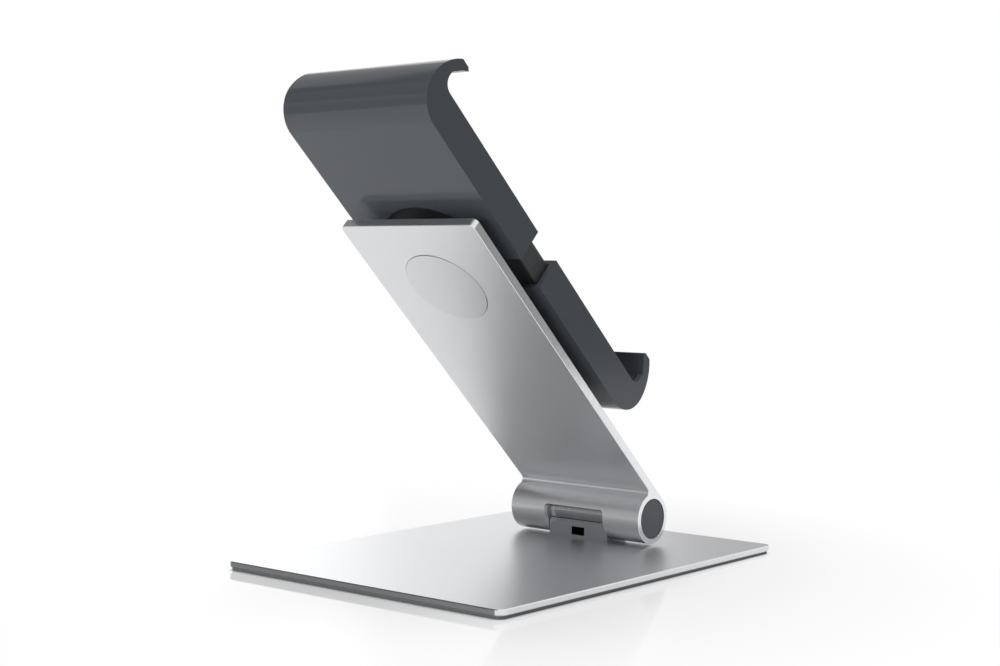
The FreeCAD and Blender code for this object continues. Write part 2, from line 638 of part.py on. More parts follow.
def swivel_hub():
    """Round hub in front of the arm, with a boss through it."""
    owner = new_body("swivel_hub", HOLDER_FRAME)
    section = sketch_on(owner, "hub_section", "XZ_Plane")
    add_outline(section, ("0", WASHER_REAR), ("boss_radius", WASHER_REAR), ("boss_radius", HUB_REAR),
                ("hub_radius", HUB_REAR), ("hub_radius", CARRIER_REAR), ("0", CARRIER_REAR))
    turned(owner, "hub", section)
    rear = size(HUB_REAR)
    boss_width = size("2 * boss_radius")
    round_edges(owner, "edge_round", "hub_edge_round",
                lambda edge: lies_at(edge, z=rear) and edge.BoundBox.XLength > boss_width + 1)
    drilled(owner, "clamp_screw_holes", WASHER_REAR, "clamp_screw_radius", CLAMP_SCREW_CENTRES,
            "clamp_screw_length", forwards=True)
    drilled(owner, "carrier_screw_holes", CARRIER_REAR, "hub_screw_radius", HUB_SCREW_CENTRES,
            "(hub_screw_length - carrier_wall)")
    return owner


def hub_screws():
    """Four screws from inside the carrier into the hub."""
    screw = pan_screw(size("hub_screw_radius"), size("hub_screw_length"), size("1.2 * hub_screw_radius"))
    return screw_group("hub_screws", screw, HUB_SCREW_CENTRES, CARRIER_FLOOR, HOLDER_FRAME)


# Carrier

POST_ACROSS = f"(2 * ({CARRIER_HALF_WIDTH} - post_inset_across))"
POST_ALONG = "(carrier_length - 2 * post_inset_along)"
POST_CENTRES = mirrored_centres(POST_ACROSS, POST_ALONG)


def carrier_tray():
    """Open box that the jaws slide on, with guide ribs for the racks and posts for the cover's screws."""
    owner = new_body("carrier_tray", HOLDER_FRAME)
    outline = sketch_on(owner, "tray_outline", "XY_Plane", CARRIER_REAR)
    add_rectangle(outline, (f"-1 * {CARRIER_HALF_WIDTH}", "-1 * carrier_length / 2"),
                  (CARRIER_HALF_WIDTH, "carrier_length / 2"))
    pad(owner, "tray", outline, f"({COVER_REAR} - {CARRIER_REAR})")
    half_width = size(CARRIER_HALF_WIDTH)
    round_edges(owner, "rear_edges", "carrier_edge_round",
                lambda edge: lies_at(edge, x=half_width, z=size(CARRIER_REAR)))
    hollow = sketch_on(owner, "hollow_outline", "XY_Plane", CARRIER_FLOOR)
    inner_half_width = f"({CARRIER_HALF_WIDTH} - carrier_wall)"
    inner_half_length = "(carrier_length / 2 - carrier_wall)"
    add_rectangle(hollow, (f"-1 * {inner_half_width}", f"-1 * {inner_half_length}"),
                  (inner_half_width, inner_half_length))
    pocket(owner, "hollow", hollow, f"({COVER_REAR} - {CARRIER_FLOOR})", forwards=True)
    rib_inner = f"({RACK_BACK} + rib_gap)"
    window = sketch_on(owner, "rack_windows", "XZ_Plane")
    add_rectangle(window, (f"-1 * {rib_inner}", CARRIER_FLOOR), (rib_inner, COVER_REAR))
    pocket(owner, "windows", window, "carrier_length", both_ways=True)
    ribs = sketch_on(owner, "rib_outlines", "XY_Plane", CARRIER_FLOOR)
    for side in (-1, 1):
        inner = f"{side} * {rib_inner}"
        outer = f"{side} * ({rib_inner} + carrier_wall)"
        low, high = (outer, inner) if side < 0 else (inner, outer)
        add_rectangle(ribs, (low, "-1 * carrier_length / 2"), (high, "carrier_length / 2"))
    pad(owner, "ribs", ribs, f"({COVER_REAR} - {CARRIER_FLOOR})")
    posts = sketch_on(owner, "post_outlines", "XY_Plane", CARRIER_FLOOR)
    for centre in POST_CENTRES:
        add_circle(posts, "post_radius", centre)
    pad(owner, "posts", posts, f"({COVER_REAR} - {CARRIER_FLOOR})")
    seat = sketch_on(owner, "pinion_seat", "XY_Plane", CARRIER_FLOOR)
    add_circle(seat, "spring_washer_radius")
    pad(owner, "seat", seat, "(gear_lift - spring_washer_thickness - 2 * running_clearance)")
    drilled(owner, "post_holes", COVER_REAR, "cover_screw_radius", POST_CENTRES, "cover_screw_length")
    drilled(owner, "hub_screw_holes", CARRIER_FLOOR, "(hub_screw_radius + screw_clearance)",
            HUB_SCREW_CENTRES, "carrier_wall")
    drilled(owner, "pin_hole", GEAR_REAR, "pin_radius", [("0", "0")], "(gear_lift + carrier_wall / 2)")
    return owner


def carrier_cover():
    """Flat lid on the carrier, with a boss that holds the pinion down."""
    owner = new_body("carrier_cover", HOLDER_FRAME)
    outline = sketch_on(owner, "cover_outline", "XY_Plane", COVER_REAR)
    add_rectangle(outline, (f"-1 * {CARRIER_HALF_WIDTH}", "-1 * carrier_length / 2"),
                  (CARRIER_HALF_WIDTH, "carrier_length / 2"))
    pad(owner, "cover", outline, "carrier_wall")
    half_width = size(CARRIER_HALF_WIDTH)
    round_edges(owner, "front_edges", "carrier_edge_round",
                lambda edge: lies_at(edge, x=half_width, z=size(CARRIER_FRONT)))
    boss = sketch_on(owner, "boss_outline", "XY_Plane", COVER_REAR)
    add_circle(boss, "spring_washer_radius")
    add_circle(boss, "pin_radius")
    pad(owner, "boss", boss, f"({COVER_REAR} - {GEAR_REAR} - gear_width - running_clearance)", backwards=True)
    drilled(owner, "screw_holes", CARRIER_FRONT, "(cover_screw_radius + screw_clearance)", POST_CENTRES,
            "carrier_wall")
    countersunk(owner, "screw_seats", CARRIER_FRONT, "cover_screw_radius", POST_CENTRES)
    return owner


def cover_screws():
    """Four countersunk screws from the cover into the tray's posts."""
    screw = countersunk_screw(size("cover_screw_radius"), size("cover_screw_length"))
    return screw_group("cover_screws", screw, POST_CENTRES, CARRIER_FRONT, HOLDER_FRAME)


def pinion_pin():
    """Fixed pin that the pinion turns on."""
    owner = new_body("pinion_pin", HOLDER_FRAME)
    section = sketch_on(owner, "pin_section", "XY_Plane", f"({CARRIER_FLOOR} - carrier_wall / 2)")
    add_circle(section, "pin_radius")
    pad(owner, "pin", section, f"({COVER_REAR} - {CARRIER_FLOOR} + carrier_wall / 2)")
    return owner


# Gears

PRESSURE_ANGLE = math.radians(20)
PINION_ADDENDUM = 0.9
RACK_ADDENDUM = 0.8
DEDENDUM = 1.15


def involute_angle(radius, base_radius):
    """Angle by which an involute has turned where it reaches a radius."""
    roll = math.sqrt(max((radius / base_radius) ** 2 - 1, 0))
    return roll - math.atan(roll)


def pinion():
    """Involute pinion with a tooth towards +X, and a plain bore."""
    module = size("gear_module")
    teeth = int(round(size("pinion_teeth")))
    pitch = module * teeth / 2
    base = pitch * math.cos(PRESSURE_ANGLE)
    tip = pitch + PINION_ADDENDUM * module
    root = pitch - DEDENDUM * module
    half_tooth = (math.pi * module - size("gear_backlash")) / 4 / pitch + involute_angle(pitch, base)
    flank_steps = 6
    radii = [base + (tip - base) * step / flank_steps for step in range(flank_steps + 1)]
    flank = [(root, half_tooth)] + [(radius, half_tooth - involute_angle(radius, base)) for radius in radii]
    corners = []
    for tooth in range(teeth):
        middle = 2 * math.pi * tooth / teeth
        corners += [(radius, middle - angle) for radius, angle in flank]
        corners += [(radius, middle + angle) for radius, angle in reversed(flank)]
    rear = size(GEAR_REAR)
    points = [FreeCAD.Vector(radius * math.cos(angle), radius * math.sin(angle), rear)
              for radius, angle in corners]
    width = size("gear_width")
    wheel = Part.Face(Part.makePolygon(points + points[:1])).extrude(FreeCAD.Vector(0, 0, width))
    bore = Part.makeCylinder(size("pin_radius + running_clearance"), width, FreeCAD.Vector(0, 0, rear))
    return new_solid("pinion", wheel.cut(bore), HOLDER_FRAME)


RACK_SCREW_CENTRES = [(f"({PITCH_RADIUS} + foot_width / 2 + {side} * rack_screw_spacing / 2)",
                       f"({HOLLOW_END} - foot_end_gap - foot_length / 2)") for side in (-1, 1)]


def rack(label, frame):
    """Toothed bar beside the pinion, with a foot that is screwed to the jaw's front wall."""
    module = size("gear_module")
    pitch_line = size(PITCH_RADIUS)
    tip = pitch_line - RACK_ADDENDUM * module
    root = pitch_line + DEDENDUM * module
    spacing = math.pi * module
    half_tooth = (spacing - size("gear_backlash")) / 4
    slope = math.tan(PRESSURE_ANGLE)
    tail = -size("rack_tail")
    last_mesh = 2.5 * spacing
    foot_start = size(f"{HOLLOW_END} - foot_end_gap - foot_length")
    corners = [(root, tail)]
    centre = spacing / 2 - size("rest_opening")
    while centre - spacing > tail + spacing:
        centre -= spacing
    while centre < last_mesh:
        narrow = half_tooth - (pitch_line - tip) * slope
        wide = half_tooth + (root - pitch_line) * slope
        corners += [(root, centre - wide), (tip, centre - narrow)]
        corners += [(tip, centre + narrow), (root, centre + wide)]
        centre += spacing
    corners += [(root, foot_start), (size(RACK_BACK), foot_start), (size(RACK_BACK), tail)]
    rear = size(GEAR_REAR)
    points = [FreeCAD.Vector(across, along, rear) for across, along in corners]
    bar = Part.Face(Part.makePolygon(points + points[:1])).extrude(FreeCAD.Vector(0, 0, size("gear_width")))
    foot = Part.makeBox(size("foot_width"), size("foot_length"), size(HOLLOW_FRONT) - rear,
                        FreeCAD.Vector(pitch_line, foot_start, rear))
    solid = bar.fuse(foot).removeSplitter()
    for across, along in RACK_SCREW_CENTRES:
        start = FreeCAD.Vector(size(across), size(along), size(JAW_FRONT) - size("face_pad_seat"))
        hole = Part.makeCylinder(size("rack_screw_radius"), size("rack_screw_length"), start,
                                 FreeCAD.Vector(0, 0, -1))
        solid = solid.cut(hole)
    return new_solid(label, solid, frame)


def rack_screws(label, frame):
    """Two countersunk screws through the jaw's front wall, under the rubber pad."""
    screw = countersunk_screw(size("rack_screw_radius"), size("rack_screw_length"))
    return screw_group(label, screw, RACK_SCREW_CENTRES, f"({JAW_FRONT} - face_pad_seat)", frame)


# Jaws

HOOK_END = f"({JAW_FRONT} + hook_height)"
HOOK_RISE = f"({HOOK_END} - {JAW_REAR} - outer_round)"
HOOK_CORNER = f"({JAW_LENGTH} - hook_back_radius + sqrt(hook_back_radius ^ 2 - {HOOK_RISE} ^ 2))"
TIP_INNER = "(throat_reach - tip_overhang)"


def jaw_shell(label, frame):
    """Hollow jaw that slides over the carrier and hooks over the screen's edge."""
    owner = new_body(label, frame)
    profile = sketch_on(owner, "jaw_profile", "YZ_Plane")
    add_outline(profile,
                ("closing_gap", JAW_REAR),
                (f"({JAW_LENGTH} - outer_round)", JAW_REAR),
                (JAW_LENGTH, f"({JAW_REAR} + outer_round)", "outer_round", 1),
                (HOOK_CORNER, HOOK_END, "hook_back_radius", 1),
                (f"({TIP_INNER} + tip_bevel)", HOOK_END),
                (TIP_INNER, f"({HOOK_END} - tip_bevel)"),
                ("(throat_reach - lip_overhang)", f"({JAW_FRONT} + lip_height)"),
                ("throat_reach", f"({JAW_FRONT} + throat_radius + throat_wall)"),
                ("throat_reach", f"({JAW_FRONT} + throat_radius)"),
                ("(throat_reach - throat_radius)", JAW_FRONT, "throat_radius", -1),
                ("closing_gap", JAW_FRONT))
    pad(owner, "jaw", profile, "jaw_width", both_ways=True)
    half_width = size("jaw_width / 2")
    rear = size(JAW_REAR)
    round_edges(owner, "rear_edges", "jaw_edge_round", lambda edge: lies_at(edge, x=half_width, z=rear))
    hollow = sketch_on(owner, "hollow_section", "XZ_Plane")
    add_rectangle(hollow, (f"-1 * {HOLLOW_HALF_WIDTH}", HOLLOW_REAR), (HOLLOW_HALF_WIDTH, HOLLOW_FRONT))
    pocket(owner, "hollow", hollow, HOLLOW_END)
    drilled(owner, "hub_recess", JAW_REAR, "hub_recess_radius", [("0", "0")], "jaw_wall", forwards=True)
    seat = sketch_on(owner, "face_pad_seat_outline", "XY_Plane", JAW_FRONT)
    add_rectangle(seat, *face_pad_corners())
    pocket(owner, "pad_seat", seat, "face_pad_seat")
    round_edges(owner, "pad_seat_corners", "face_pad_corner", at_face_pad_corner)
    seat_floor = f"({JAW_FRONT} - face_pad_seat)"
    drilled(owner, "screw_holes", seat_floor, "(rack_screw_radius + screw_clearance / 2)", RACK_SCREW_CENTRES,
            "(jaw_wall - face_pad_seat)")
    countersunk(owner, "screw_seats", seat_floor, "rack_screw_radius", RACK_SCREW_CENTRES)
    return owner


def face_pad_corners():
    """Low and high corner of a jaw's face pad, seen from the front."""
    half_width = "(jaw_width / 2 - face_pad_side_inset)"
    return ((f"-1 * {half_width}", "face_pad_end_inset"),
            (half_width, "(face_pad_end_inset + face_pad_length)"))


def at_face_pad_corner(edge):
    """True for the four edges that stand at a face pad's corners."""
    (_, near_end), (half_width, far_end) = face_pad_corners()
    return any(lies_at(edge, x=size(half_width), y=size(end)) for end in (near_end, far_end))


def face_pad(label, frame):
    """Rubber pad seated in a jaw's front face."""
    owner = new_body(label, frame)
    outline = sketch_on(owner, "pad_outline", "XY_Plane", f"({JAW_FRONT} - face_pad_seat)")
    add_rectangle(outline, *face_pad_corners())
    pad(owner, "pad", outline, "face_pad_thickness")
    round_edges(owner, "corners", "face_pad_corner", at_face_pad_corner)
    return owner


def hook_liner(label, frame):
    """Rubber liner round the bottom of a hook's throat."""
    owner = new_body(label, frame)
    section = sketch_on(owner, "liner_section", "YZ_Plane")
    inner = "(throat_reach - liner_thickness)"
    level = f"({JAW_FRONT} + liner_thickness)"
    bend_radius = "(throat_radius - liner_thickness)"
    bend_start = "(throat_reach - throat_radius)"
    bend_end = f"({JAW_FRONT} + throat_radius)"
    top = f"({JAW_FRONT} + throat_radius + throat_wall)"
    start = f"({bend_start} - liner_run)"
    add_outline(section,
                (start, JAW_FRONT), (bend_start, JAW_FRONT),
                ("throat_reach", bend_end, "throat_radius", 1), ("throat_reach", top),
                (inner, top), (inner, bend_end),
                (bend_start, level, bend_radius, -1), (start, level))
    pad(owner, "liner", section, "(jaw_width - 2 * liner_side_inset)", both_ways=True)
    return owner


# Assembly

def jaw_parts(side, frame):
    """All the pieces of one jaw."""
    return [
        jaw_shell(f"{side}_jaw_shell", frame),
        rack(f"{side}_rack", frame),
        rack_screws(f"{side}_rack_screws", frame),
        face_pad(f"{side}_face_pad", frame),
        hook_liner(f"{side}_hook_liner", frame),
    ]


def base_parts():
    """The foot and the fixed half of the hinge."""
    return [base_plate(), base_pad(), hinge_block(), lock_plate(), hinge_shaft(), hinge_screws()]


def arm_parts():
    """The arm, what is pressed into its barrel and the cap over its swivel."""
    return [
        arm(),
        hinge_bush("hinge_bush_left", ARM_FRAME),
        hinge_bush("hinge_bush_right", ARM_FRAME_TURNED),
        end_plug("end_plug_left", ARM_FRAME),
        end_plug("end_plug_right", ARM_FRAME_TURNED),
        pivot_cap(),
    ]


def swivel_parts():
    """What joins the holder to the arm, from the rear to the front."""
    bore = "(boss_radius + running_clearance)"
    return [
        swivel_clamp_plate(),
        swivel_clamp_screws(),
        flat_ring("swivel_washer", HOLDER_FRAME, WASHER_REAR, "washer_thickness", "clamp_radius", bore),
        flat_ring("swivel_ring", HOLDER_FRAME, "(barrel_radius + swivel_gap)", "ring_thickness",
                  "(hub_radius - hub_edge_round)", bore),
        swivel_hub(),
        hub_screws(),
    ]


def carrier_parts():
    """The carrier that the jaws slide on, and the pinion inside it."""
    return [
        carrier_tray(),
        carrier_cover(),
        cover_screws(),
        pinion_pin(),
        flat_ring("pinion_washer", HOLDER_FRAME,
                  f"({GEAR_REAR} - running_clearance - spring_washer_thickness)", "spring_washer_thickness",
                  "spring_washer_radius", "(pin_radius + running_clearance)"),
        pinion(),
    ]


def build_parts():
    """Build every sub-part in turn."""
    jaws = jaw_parts("upper", UPPER_JAW_FRAME) + jaw_parts("lower", LOWER_JAW_FRAME)
    return base_parts() + arm_parts() + swivel_parts() + carrier_parts() + jaws


def check(parts):
    """Stop at any object that failed and any shape that is empty or broken."""
    for item in DOCUMENT.Objects:
        if {"Invalid", "Error"} & set(item.State):
            raise RuntimeError(f"{item.Label} failed: {item.State}")
    for part in parts:
        if part.Shape.isNull() or not part.Shape.isValid() or not part.Shape.Solids:
            raise RuntimeError(f"{part.Label} has no valid solid")


def export(parts):
    """Write each sub-part to its own file."""
    os.makedirs("parts", exist_ok=True)
    for part in parts:
        part.Shape.exportStep(f"parts/{part.Label}.step")
        print(f"{part.Label}: {len(part.Shape.Solids)} solid, {part.Shape.Volume / 1000:.2f} cm3")


fill_sheet()
PARTS = build_parts()
DOCUMENT.recompute()
check(PARTS)
export(PARTS)
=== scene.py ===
"""Tablet desk stand: a base plate, a tilting arm on a barrel hinge, and a holder with two hooked jaws.

Each sub-assembly is a class. Its sizes are in millimetres, in the sub-assembly's own frame, and its finished
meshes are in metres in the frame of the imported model.
"""

import json
import logging
import math
from contextlib import contextmanager
from dataclasses import dataclass, field
from enum import Enum
from typing import Any, Callable, Iterable, Iterator, Mapping, Sequence

import bmesh
import bpy
from mathutils import Matrix, Vector

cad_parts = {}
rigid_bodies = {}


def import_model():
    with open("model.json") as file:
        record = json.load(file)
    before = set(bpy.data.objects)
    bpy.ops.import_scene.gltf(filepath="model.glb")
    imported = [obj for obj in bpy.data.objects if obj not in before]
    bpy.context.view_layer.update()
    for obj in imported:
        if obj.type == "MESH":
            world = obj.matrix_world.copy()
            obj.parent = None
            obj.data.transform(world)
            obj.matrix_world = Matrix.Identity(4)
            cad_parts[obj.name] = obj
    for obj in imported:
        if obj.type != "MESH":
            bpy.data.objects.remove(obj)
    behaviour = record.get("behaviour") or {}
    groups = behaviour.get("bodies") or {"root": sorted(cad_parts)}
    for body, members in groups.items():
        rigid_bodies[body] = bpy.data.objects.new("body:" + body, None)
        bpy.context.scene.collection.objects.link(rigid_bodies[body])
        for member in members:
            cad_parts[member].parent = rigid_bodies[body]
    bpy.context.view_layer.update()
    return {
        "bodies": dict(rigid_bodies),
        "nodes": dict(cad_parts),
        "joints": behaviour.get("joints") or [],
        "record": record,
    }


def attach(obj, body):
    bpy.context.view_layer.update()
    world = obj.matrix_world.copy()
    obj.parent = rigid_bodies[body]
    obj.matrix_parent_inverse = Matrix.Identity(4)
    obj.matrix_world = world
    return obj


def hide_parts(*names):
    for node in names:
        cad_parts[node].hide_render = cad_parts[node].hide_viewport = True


LOG = logging.getLogger("tablet_desk_stand")
MILLIMETRE = 0.001
WHITE = "#FFFFFF"

# Reaches used in the work, in millimetres. What lies within a hair of a face is on it, and what lies near a
# round edge is on that, because its straight runs cut inside it.
HAIR = 0.01
NEAR = 0.2
# How far a cutter sticks out of what it cuts.
OVER = 1.0

# Faces round a circle, enough to keep it round in a close view: the cap and larger rounds, bores, plugs and
# smaller rounds, and screw holes.
LARGE_ROUND, BORE_ROUND, SMALL_ROUND, SCREW_ROUND = 144, 120, 96, 48

Point = tuple[float, float]
PlaceTest = Callable[[float, float, float], bool]


class Axis(Enum):
    """Direction in which an outline is drawn out, in a sub-assembly's own frame."""

    ACROSS = "across"
    ALONG = "along"
    OUT = "out"

    def spot(self, first: float, second: float, reach: float) -> Vector:
        """Place of an outline's point.

        Args:
            first: The point's first coordinate.
            second: The point's second coordinate.
            reach: Distance in the direction of this axis.

        Returns:
            The place in the sub-assembly's frame.
        """
        if self is Axis.ACROSS:
            return Vector((reach, first, second))
        if self is Axis.ALONG:
            return Vector((first, reach, second))
        return Vector((first, second, reach))


class Side(Enum):
    """The two jaws, which are the same part turned by half a turn."""

    UPPER = 1
    LOWER = -1

    @property
    def word(self) -> str:
        """Name of this side as the model's nodes have it."""
        return self.name.lower()


# Outlines

def arc(centre: Point, radius: float, start: float, end: float, steps: int) -> list[Point]:
    """Points on an arc.

    Args:
        centre: The arc's centre.
        radius: The arc's radius.
        start: First angle in degrees.
        end: Last angle in degrees.
        steps: Number of straight runs.

    Returns:
        The points, both ends among them.
    """
    angles = [math.radians(start + (end - start) * step / steps) for step in range(steps + 1)]
    return [(centre[0] + radius * math.cos(angle), centre[1] + radius * math.sin(angle)) for angle in angles]


def circle(centre: Point, radius: float, steps: int) -> list[Point]:
    """Points of a full circle, the first of them not repeated."""
    return arc(centre, radius, 0.0, 360.0, steps)[:-1]


def rectangle(low: Point, high: Point) -> list[Point]:
    """Corners of a rectangle."""
    return [low, (high[0], low[1]), high, (low[0], high[1])]


def rounded_rectangle(low: Point, high: Point, radius: float, steps: int) -> list[Point]:
    """Outline of a rectangle with round corners.

    Args:
        low: Corner with the lowest coordinates.
        high: Corner with the highest coordinates.
        radius: Radius of the corners.
        steps: Straight runs in each corner.

    Returns:
        The outline's points.
    """
    corners = (
        ((high[0] - radius, low[1] + radius), -90.0),
        ((high[0] - radius, high[1] - radius), 0.0),
        ((low[0] + radius, high[1] - radius), 90.0),
        ((low[0] + radius, low[1] + radius), 180.0),
    )
    return [point for centre, start in corners for point in arc(centre, radius, start, start + 90.0, steps)]


# Solids

def baked(owner: bpy.types.Object) -> bpy.types.Mesh:
    """Make a plain mesh of an object with its modifiers applied.

    Args:
        owner: The object.

    Returns:
        The new mesh.
    """
    bpy.context.view_layer.update()
    graph = bpy.context.evaluated_depsgraph_get()
    return bpy.data.meshes.new_from_object(owner.evaluated_get(graph), preserve_all_data_layers=True,
                                           depsgraph=graph)


def linked(name: str, data: bpy.types.ID) -> bpy.types.Object:
    """Put a mesh, a lamp or a camera into the scene.

    Args:
        name: Name of the object that holds it.
        data: The mesh, lamp or camera.

    Returns:
        The object.
    """
    owner = bpy.data.objects.new(name, data)
    bpy.context.scene.collection.objects.link(owner)
    return owner


@contextmanager
def editing(mesh: bpy.types.Mesh) -> Iterator[bmesh.types.BMesh]:
    """Open a mesh for changes, and write them back at the end.

    Args:
        mesh: The mesh.

    Yields:
        Its points, edges and faces.
    """
    grid = bmesh.new()
    grid.from_mesh(mesh)
    yield grid
    grid.to_mesh(mesh)
    grid.free()


def anywhere(x: float, y: float, z: float) -> bool:
    """Pass every place."""
    return True


class Workpiece:
    """A closed mesh that is shaped step by step, as a part is on a bench."""

    # Points nearer to each other than this become one: in a new shape, in a node's own mesh, and after a cut.
    WELD, NODE_WELD, CUT_WELD = 1e-5, 1e-7, 1e-4
    # Neighbouring faces that turn less than this become one, in degrees: in a node's mesh, and after a cut.
    NODE_FLAT, CUT_FLAT = 0.2, 0.4
    # Radius of a ring on the axis of turning, small enough to become one point.
    ON_AXIS = 1e-7
    # A face looks one way if the cosine of its turn from there is above this, which is about 20 degrees.
    FACING = 0.94

    def __init__(self, name: str, grid: bmesh.types.BMesh, material: bpy.types.Material | None) -> None:
        """Close the mesh and turn its faces outwards.

        Args:
            name: Name of the finished piece.
            grid: Its first shape, which is freed.
            material: Its main material, or None for a cutter.
        """
        self.name = name
        self.mesh = bpy.data.meshes.new(name)
        bmesh.ops.remove_doubles(grid, verts=grid.verts, dist=self.WELD)
        bmesh.ops.recalc_face_normals(grid, faces=grid.faces)
        grid.to_mesh(self.mesh)
        grid.free()
        if material:
            self.mesh.materials.append(material)

    @classmethod
    def prism(cls, name: str, outline: Sequence[Point], axis: Axis, low: float, high: float,
              material: bpy.types.Material | None = None) -> "Workpiece":
        """Draw an outline out along an axis.

        Args:
            name: Name of the piece.
            outline: The outline's points in order.
            axis: Direction to draw it out in.
            low: Where it starts along the axis.
            high: Where it ends.
            material: Its main material, or None for a cutter.

        Returns:
            The new solid.
        """
        grid = bmesh.new()
        near, far = ([grid.verts.new(axis.spot(first, second, reach)) for first, second in outline]
                     for reach in (low, high))
        grid.faces.new(near)
        grid.faces.new(far[::-1])
        for index in range(len(outline)):
            following = (index + 1) % len(outline)
            grid.faces.new((near[index], far[index], far[following], near[following]))
        return cls(name, grid, material)

    @classmethod
    def turned(cls, name: str, profile: Sequence[Point], axis: Axis, centre: Point, steps: int,
               material: bpy.types.Material | None = None) -> "Workpiece":
        """Turn a profile about an axis, as on a lathe.

        Args:
            name: Name of the piece.
            profile: Points as (radius, reach along the axis), from the axis and back to it.
            axis: The axis of turning.
            centre: Place of the axis, as an outline's two coordinates.
            steps: Faces round the axis.
            material: Its main material, or None for a cutter.

        Returns:
            The new solid.
        """
        grid = bmesh.new()
        rings = [[grid.verts.new(axis.spot(*spot, reach))
                  for spot in circle(centre, max(radius, cls.ON_AXIS), steps)] for radius, reach in profile]
        for ring, other in zip(rings, rings[1:]):
            for index in range(steps):
                following = (index + 1) % steps
                grid.faces.new((ring[index], ring[following], other[following], other[index]))
        return cls(name, grid, material)

    @classmethod
    def carried(cls, name: str, node: bpy.types.Object, material: bpy.types.Material) -> "Workpiece":
        """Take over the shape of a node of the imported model, in metres.

        Args:
            name: Name of the piece.
            node: The node.
            material: Its material.

        Returns:
            A copy with its triangles joined to whole faces.
        """
        grid = bmesh.new()
        grid.from_mesh(node.data)
        bmesh.ops.remove_doubles(grid, verts=grid.verts, dist=cls.NODE_WELD)
        bmesh.ops.dissolve_limit(grid, angle_limit=math.radians(cls.NODE_FLAT), verts=grid.verts,
                                 edges=grid.edges)
        for face in grid.faces:
            face.material_index = 0
        return cls(name, grid, material)

    def index_of(self, material: bpy.types.Material) -> int:
        """Index of a material, which joins the mesh's list if it isn't there.

        Args:
            material: The material.

        Returns:
            Its place in the list.
        """
        if material not in list(self.mesh.materials):
            self.mesh.materials.append(material)
        return list(self.mesh.materials).index(material)

    def cut(self, *tools: "Workpiece") -> None:
        """Cut other solids out of this one.

        Args:
            *tools: The other solids, which are used up.
        """
        owner = linked(self.name + "_bench", self.mesh)
        helpers = [linked(tool.name + "_tool", tool.mesh) for tool in tools]
        for helper in helpers:
            modifier = owner.modifiers.new("cut", "BOOLEAN")
            modifier.operation = "DIFFERENCE"
            modifier.solver = "EXACT"
            modifier.object = helper
        self.mesh = baked(owner)
        for used in (*helpers, owner):
            bpy.data.objects.remove(used)
        with editing(self.mesh) as grid:
            bmesh.ops.remove_doubles(grid, verts=grid.verts, dist=self.CUT_WELD)
            bmesh.ops.dissolve_limit(grid, angle_limit=math.radians(self.CUT_FLAT), verts=grid.verts,
                                     edges=grid.edges, delimit={"MATERIAL"})

    def add(self, mesh: bpy.types.Mesh, place: Vector) -> None:
        """Take in another closed mesh as it is.

        Args:
            mesh: The other mesh, which is used up.
            place: Where its origin goes.
        """
        mesh.transform(Matrix.Translation(place))
        with editing(self.mesh) as grid:
            grid.from_mesh(mesh)
        bpy.data.meshes.remove(mesh)

    def paint(self, material: bpy.types.Material, wanted: PlaceTest, facing: Vector | None = None) -> None:
        """Give a material to some of the faces.

        Args:
            material: The material.
            wanted: Test of a face's middle.
            facing: Direction that the faces look in, or None for any.
        """
        index = self.index_of(material)
        for face in self.mesh.polygons:
            if (facing is None or face.normal.dot(facing) > self.FACING) and wanted(*face.center):
                face.material_index = index

    def ease(self, width: float, wanted: PlaceTest, segments: int = 2, least_turn: float = 30.0,
             material: bpy.types.Material | None = None) -> None:
        """Bevel or round sharp edges.

        Args:
            width: Width of the bevel on each side.
            wanted: Test of an edge's middle.
            segments: 1 for a flat bevel, more for a round one.
            least_turn: Least angle of an edge that counts as sharp, in degrees.
            material: Material of the new faces, or None for that of their neighbours.
        """
        index = -1 if material is None else self.index_of(material)
        with editing(self.mesh) as grid:
            edges = []
            for edge in grid.edges:
                middle = (edge.verts[0].co + edge.verts[1].co) / 2
                sharp = edge.is_manifold and edge.calc_face_angle(0.0) > math.radians(least_turn)
                if sharp and wanted(*middle):
                    edges.append(edge)
            bmesh.ops.bevel(grid, geom=edges, offset=width, offset_type="OFFSET", segments=segments,
                            profile=0.5, affect="EDGES", clamp_overlap=True, material=index)

    def finished(self, seat: Matrix, sharp_turn: float = 32.0) -> bpy.types.Object:
        """Put the solid in its place, with even shading across its flat faces.

        Args:
            seat: Its place and scale.
            sharp_turn: Least angle between faces that stays a crisp edge, in degrees.

        Returns:
            The finished piece at the origin, with its place in its mesh.
        """
        self.mesh.transform(seat)
        self.mesh.polygons.foreach_set("use_smooth", [True] * len(self.mesh.polygons))
        self.mesh.set_sharp_from_angle(angle=math.radians(sharp_turn))
        piece = linked(self.name, self.mesh)
        modifier = piece.modifiers.new("even_shading", "WEIGHTED_NORMAL")
        modifier.keep_sharp = True
        piece.data = baked(piece)
        piece.data.name = self.name
        piece.modifiers.clear()
        return piece


# Repeats

